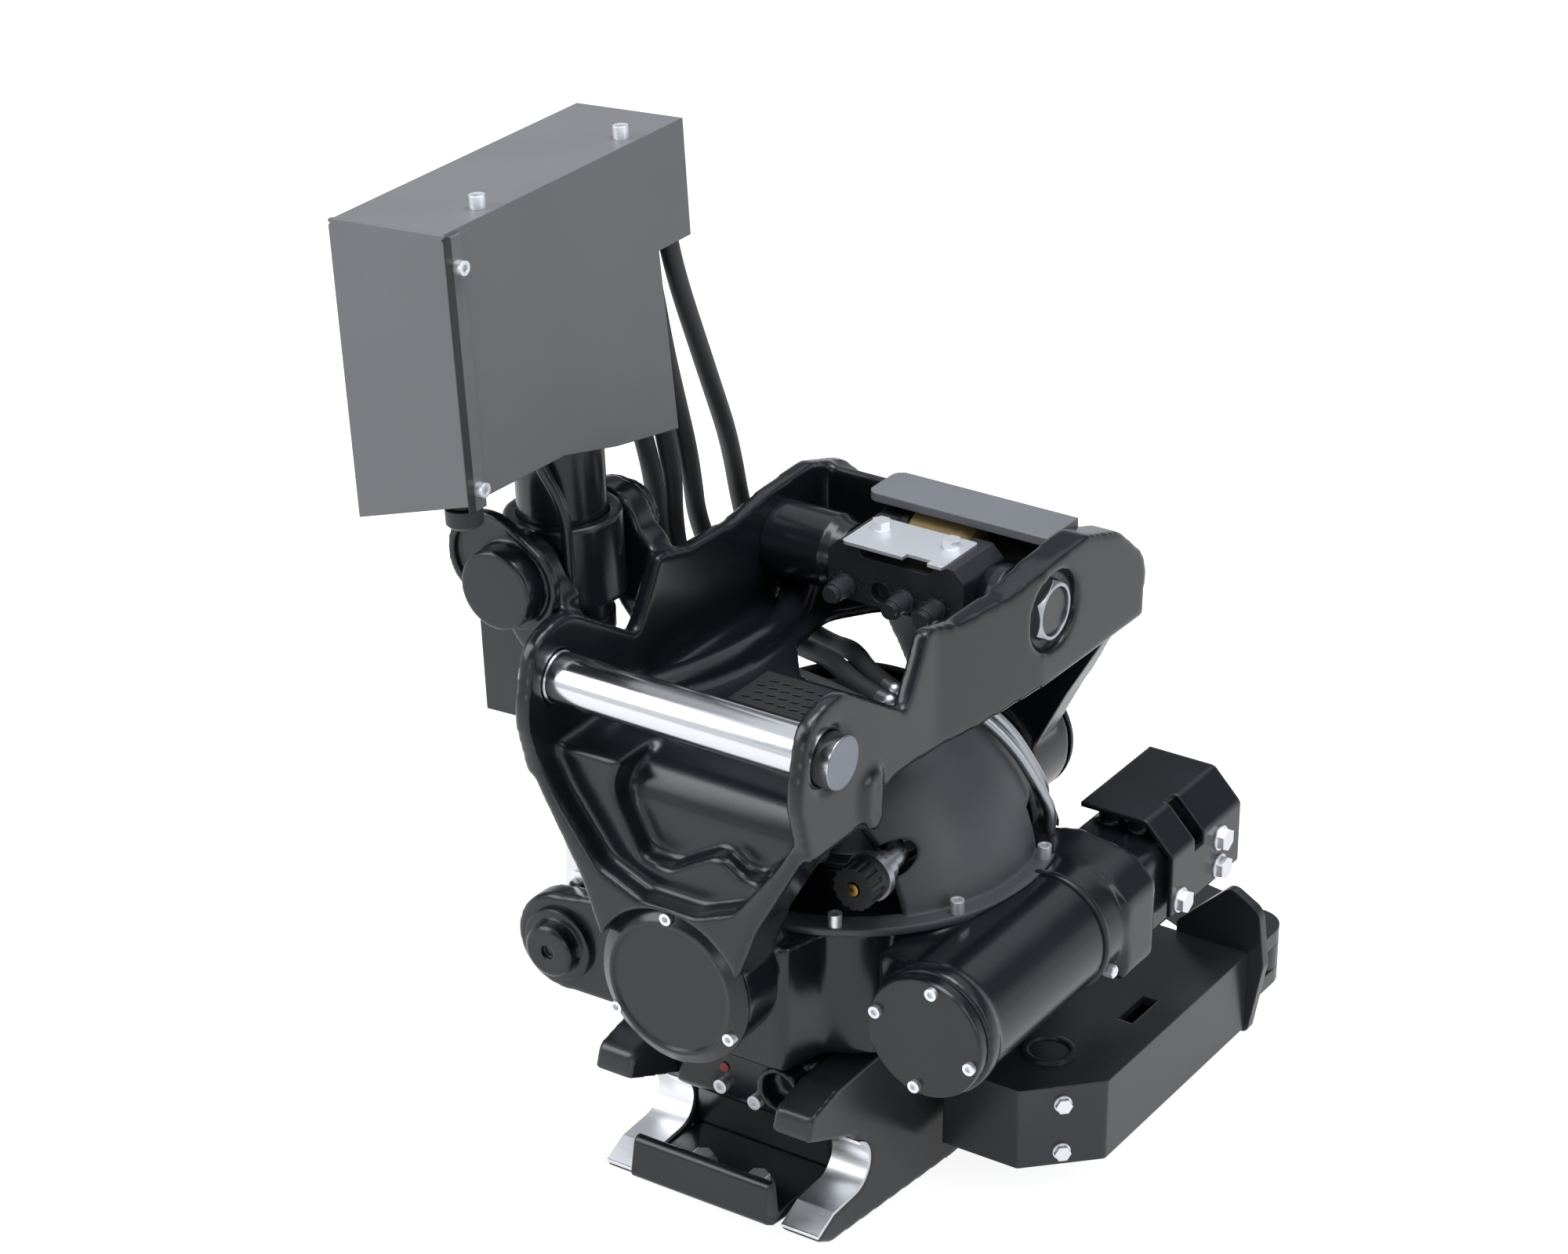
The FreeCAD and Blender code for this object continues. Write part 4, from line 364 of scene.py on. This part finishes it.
# Each pin's faces: name, the pin's Y, where its ends are in X, the radius, all in mm, and the finish.
PIN_FACES = [("front_pin_face", 0, 137, 21, "faced_steel"),
             # The rear face is darkened as painted shade: the pin's end sits recessed in its nut, where shade
             # falls.
             ("rear_pin_face", 300, 137, 20, "black_oxide_and_painted_shade")]
# A face's thickness, how far it stands off the solid, its edge's width and its middle's rise, in mm.
FACE_THICKNESS, FACE_STANDOFF, FACE_EDGE, FACE_RISE = 0.08, 0.1, 1.6, 0.5


def pin_faces():
    """Sawn and faced ends of the hitch pins, duller than the chrome along them; the rear one is dark as
    painted shade.
    """
    for name, y, end, radius, finish in PIN_FACES:
        for side, side_name in ((1, "_right"), (-1, "_left")):
            bm = bmesh.new()
            bmesh.ops.create_cone(bm, cap_ends=True, segments=64, radius1=radius * MM, radius2=radius * MM,
                                  depth=FACE_THICKNESS * MM)
            outer = [face for face in bm.faces if all(v.co.z > 0 for v in face.verts)]
            bmesh.ops.inset_region(bm, faces=outer, thickness=FACE_EDGE * MM, depth=0)
            middle = [v for v in bm.verts if v.co.length < (radius - 1) * MM]
            bmesh.ops.translate(bm, verts=middle, vec=(0, 0, FACE_RISE * MM))
            bmesh.ops.translate(bm, verts=bm.verts, vec=(0, 0, -FACE_THICKNESS / 2 * MM))
            turn = Matrix.Rotation(QUARTER_TURN * side, 3, "Y")
            bmesh.ops.rotate(bm, verts=bm.verts, matrix=turn)
            bmesh.ops.translate(bm, verts=bm.verts, vec=((end + FACE_STANDOFF) * MM * side, y * MM, 0))
            finish_piece(name + side_name, bm, finish, "hitch", False)


# Each fitting: name, finish, body, slot, its middle, its axis, radius and length in mm, and its sides.
FITTINGS = [
    ("connector_core", "brass", "housing", "black_plastic", (96, 79.1, -155), "Y", 5.2, 1.2, 32),
    # The core's hole is a thin black disc on its face: painted shade of the hole.
    ("connector_core_hole", "black_plastic", "housing", "black_plastic", (96, 78.6, -155), "Y", 1.8, 0.6, 16),
    ("case_joint_ring", "casting_paint", "housing", "black_casting", (175, 246, -247), "Y", 52.4, 6, 96),
    ("case_joint_bolt", "zinc_plate", "housing", "black_screw", (223, 256, -272), "X", 5.5, 10, 6),
    ("neck_plug", "red_plug", "coupler", "black_casting", (-19, 75.4, -349), "Y", 4.2, 1.6, 24),
    ("bar_washer_left", "zinc_plate", "coupler", "bright_steel", (-21, 47, -422.4), "Z", 12, 1.6, 48),
    ("bar_washer_right", "zinc_plate", "coupler", "bright_steel", (32, 47, -422.4), "Z", 12, 1.6, 48),
    ("bar_nut_left", "zinc_plate", "coupler", "bright_steel", (-21, 47, -417.8), "Z", 9, 7.6, 6),
    ("bar_nut_right", "zinc_plate", "coupler", "bright_steel", (32, 47, -417.8), "Z", 9, 7.6, 6),
    ("bar_pad_left", "casting_paint", "coupler", "black_casting", (-21, 47, -426.2), "Z", 13, 6, 48),
    ("bar_pad_right", "casting_paint", "coupler", "black_casting", (32, 47, -426.2), "Z", 13, 6, 48),
]
HEXAGON = 6
LARGEST_CHAMFER = 1.0  # mm


def small_fittings():
    """The connector's core, the worm case's joint and bolt, a plug, and the nuts on the lock bar's floor."""
    for name, finish, body, slot, middle, axis, radius, length, sides in FITTINGS:
        bm = bmesh.new()
        bmesh.ops.create_cone(bm, cap_ends=True, segments=sides, radius1=radius * MM, radius2=radius * MM,
                              depth=length * MM)
        rims = [e for e in bm.edges if abs(e.verts[0].co.z - e.verts[1].co.z) < WELD]
        bmesh.ops.bevel(bm, geom=rims, offset=min(0.25 * length, LARGEST_CHAMFER) * MM, segments=3,
                        profile=0.5, affect="EDGES", material=-1)
        if axis != "Z":
            turn = Matrix.Rotation(QUARTER_TURN, 3, "Y" if axis == "X" else "X")
            bmesh.ops.rotate(bm, verts=bm.verts, matrix=turn)
        bmesh.ops.translate(bm, verts=bm.verts, vec=[c * MM for c in middle])
        finish_piece(name, bm, finish, body, sides > HEXAGON)


CASSETTE_FROM = 0.15  # metres from the middle: screws past this are the cassettes' own
BOLT_SCALE = 0.7


def cassette_bolts():
    """The coupler's screws, with the cassettes' hexagon bolts drawn to their own smaller size."""
    bm = bmesh.new()
    bm.from_mesh(bpy.data.objects["coupler_screws"].data)
    bmesh.ops.remove_doubles(bm, verts=bm.verts, dist=WELD)
    left = set(bm.verts)
    while left:
        # One screw is every corner that can be reached from its first along the edges.
        head = {left.pop()}
        edge = list(head)
        while edge:
            near = [e.other_vert(v) for v in edge for e in v.link_edges]
            edge = [v for v in set(near) if v not in head]
            head.update(edge)
        left -= head
        middle = sum((v.co for v in head), Vector()) / len(head)
        if abs(middle.x) > CASSETTE_FROM:
            # It shrinks towards its seat, on the cassette's slanting corner.
            way = Vector((math.copysign(1, middle.x), -1, 0)).normalized()
            seat = middle + way * (min(v.co.dot(way) for v in head) - middle.dot(way))
            bmesh.ops.scale(bm, verts=list(head), vec=[BOLT_SCALE] * 3, space=Matrix.Translation(-seat))
    piece = finish_piece("coupler_bolts", bm, "zinc_plate", "coupler", False)
    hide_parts("coupler_screws")


SEAL_REAR = (0, -0.0765, 0)  # metres: where the bead ends and the folded sheet starts


def corner_strip():
    """The dark seal in the cover's front corner, a narrow bead with folded sheet beside it."""
    whole = bpy.data.objects["cover_corner_strip"].data
    for name, is_fold, finish in (("corner_seal", False, "black_plastic"),
                                  ("corner_fold", True, "powder_coat")):
        bm = bmesh.new()
        bm.from_mesh(whole)
        bmesh.ops.remove_doubles(bm, verts=bm.verts, dist=WELD)
        cut = bmesh.ops.bisect_plane(bm, geom=bm.verts[:] + bm.edges[:] + bm.faces[:], plane_co=SEAL_REAR,
                                     plane_no=(0, 1, 0), clear_outer=not is_fold, clear_inner=is_fold)
        rim = [item for item in cut["geom_cut"] if isinstance(item, bmesh.types.BMEdge)]
        bmesh.ops.holes_fill(bm, edges=rim)
        piece = finish_piece(name, bm, finish, "tilt_barrel", False)
        if not is_fold:
            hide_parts("cover_corner_strip")


FLOOR_HALF_WIDTH = 6
# The floor's glow in reflections, and what is added to it where the camera sees the floor.
FLOOR_GLOW, FLOOR_GLOW_SEEN = 0.41, 0.47


def lay_floor():
    """A pale matte floor that keeps the shadow and glows for eye and mirror rays."""
    bm = bmesh.new()
    bmesh.ops.create_grid(bm, x_segments=1, y_segments=1, size=FLOOR_HALF_WIDTH)
    bmesh.ops.translate(bm, verts=bm.verts, vec=(0, 0, cad_box[0][2]))
    mesh = bpy.data.meshes.new("studio_floor")
    bm.to_mesh(mesh)
    bm.free()
    floor = bpy.data.objects.new("studio_floor", mesh)
    scene.collection.objects.link(floor)
    material = bpy.data.materials.new("pale_floor")
    material.use_nodes = True
    tree = material.node_tree
    tree.nodes.clear()
    out = node(tree, "ShaderNodeOutputMaterial")
    rays = node(tree, "ShaderNodeLightPath")
    seen = node(tree, "ShaderNodeMath", {"operation": "MAXIMUM"},
                {0: rays.outputs["Is Camera Ray"], 1: rays.outputs["Is Glossy Ray"]})
    pale = node(tree, "ShaderNodeBsdfDiffuse", Color=(0.62, 0.62, 0.62, 1))
    level = node(tree, "ShaderNodeMath", {"operation": "MULTIPLY_ADD"}, {0: rays.outputs["Is Camera Ray"]})
    level.inputs[1].default_value = FLOOR_GLOW_SEEN
    level.inputs[2].default_value = FLOOR_GLOW
    glow = node(tree, "ShaderNodeEmission", links={"Strength": level.outputs[0]}, Color=(1, 1, 1, 1))
    both = node(tree, "ShaderNodeAddShader", links={0: pale.outputs[0], 1: glow.outputs[0]})
    mixed = node(tree, "ShaderNodeMixShader",
                 links={0: seen.outputs[0], 1: pale.outputs[0], 2: both.outputs[0]})
    tree.links.new(mixed.outputs[0], out.inputs["Surface"])
    mesh.materials.append(material)


# The room that the gloss reflects. Its first colour lies at the horizon and below, its last straight
# overhead, and between them are a dark wall and a bright ceiling, each at its height with its grey level.
ROOM_FOOT, ROOM_TOP = (0.87, 0.9, 0.95, 1), (0.66, 0.68, 0.71, 1)
ROOM_TONES = [(0.10, 0.72), (0.28, 0.20), (0.54, 0.14), (0.64, 0.92), (0.76, 0.82)]


def paint_surround():
    """White to the eye, a room of pale and dark bands to mirror rays, and even light for the rest."""
    world = bpy.data.worlds.new("pale_surround")
    scene.world = world
    world.use_nodes = True
    tree = world.node_tree
    tree.nodes.clear()
    out = node(tree, "ShaderNodeOutputWorld")
    rays = node(tree, "ShaderNodeLightPath")
    eye = node(tree, "ShaderNodeMath", {"operation": "MAXIMUM"},
               {0: rays.outputs["Is Camera Ray"], 1: rays.outputs["Is Transmission Ray"]})
    way = node(tree, "ShaderNodeTexCoord")
    height = node(tree, "ShaderNodeSeparateXYZ", links={"Vector": way.outputs["Generated"]})
    room = node(tree, "ShaderNodeValToRGB", links={"Fac": height.outputs["Z"]})
    tones = room.color_ramp.elements
    tones[0].position, tones[0].color = 0.0, ROOM_FOOT
    tones[1].position, tones[1].color = 1.0, ROOM_TOP
    for level, tone in ROOM_TONES:
        tones.new(level).color = (tone * 0.96, tone, tone * 1.06, 1)
    mirror = node(tree, "ShaderNodeBackground", links={"Color": room.outputs["Color"]}, Strength=1.0)
    light = node(tree, "ShaderNodeBackground", Color=(0.97, 0.99, 1.04, 1), Strength=0.43)
    white = node(tree, "ShaderNodeBackground", Color=(1, 1, 1, 1), Strength=1.0)
    lit = node(tree, "ShaderNodeMixShader",
               links={0: rays.outputs["Is Glossy Ray"], 1: light.outputs[0], 2: mirror.outputs[0]})
    mixed = node(tree, "ShaderNodeMixShader",
                 links={0: eye.outputs[0], 1: lit.outputs[0], 2: white.outputs[0]})
    tree.links.new(mixed.outputs[0], out.inputs["Surface"])


# Each lamp: name, place and size in metres, and watts.
LAMPS = [("left_softbox", (-1.6, -1.4, 1.2), (1.4, 1.8), 36),
         ("top_softbox", (0.2, 0.1, 2.2), (1.8, 1.2), 45),
         ("right_strip", (2.2, 0.3, 0.9), (0.5, 1.8), 8),
         ("front_strip", (0.3, -2.4, 0.2), (1.6, 0.4), 5)]
LAMP_TARGET = (0, 0.2, -0.1)


def hang_lamps():
    """Soft lamps, all turned to the middle of the part."""
    for name, place, size, power in LAMPS:
        data = bpy.data.lights.new(name, "AREA")
        data.shape = "RECTANGLE"
        data.size, data.size_y = size
        data.energy = power
        data.color = (0.97, 0.985, 1.0)
        lamp = bpy.data.objects.new(name, data)
        turn = (Vector(place) - Vector(LAMP_TARGET)).to_track_quat("Z", "Y").to_matrix().to_4x4()
        lamp.matrix_world = Matrix.Translation(Vector(place)) @ turn
        scene.collection.objects.link(lamp)


set_camera()
make_finishes()
hang_hoses()
dress_nodes()
round_castings()
pin_faces()
small_fittings()
cassette_bolts()
corner_strip()
lay_floor()
paint_surround()
hang_lamps()
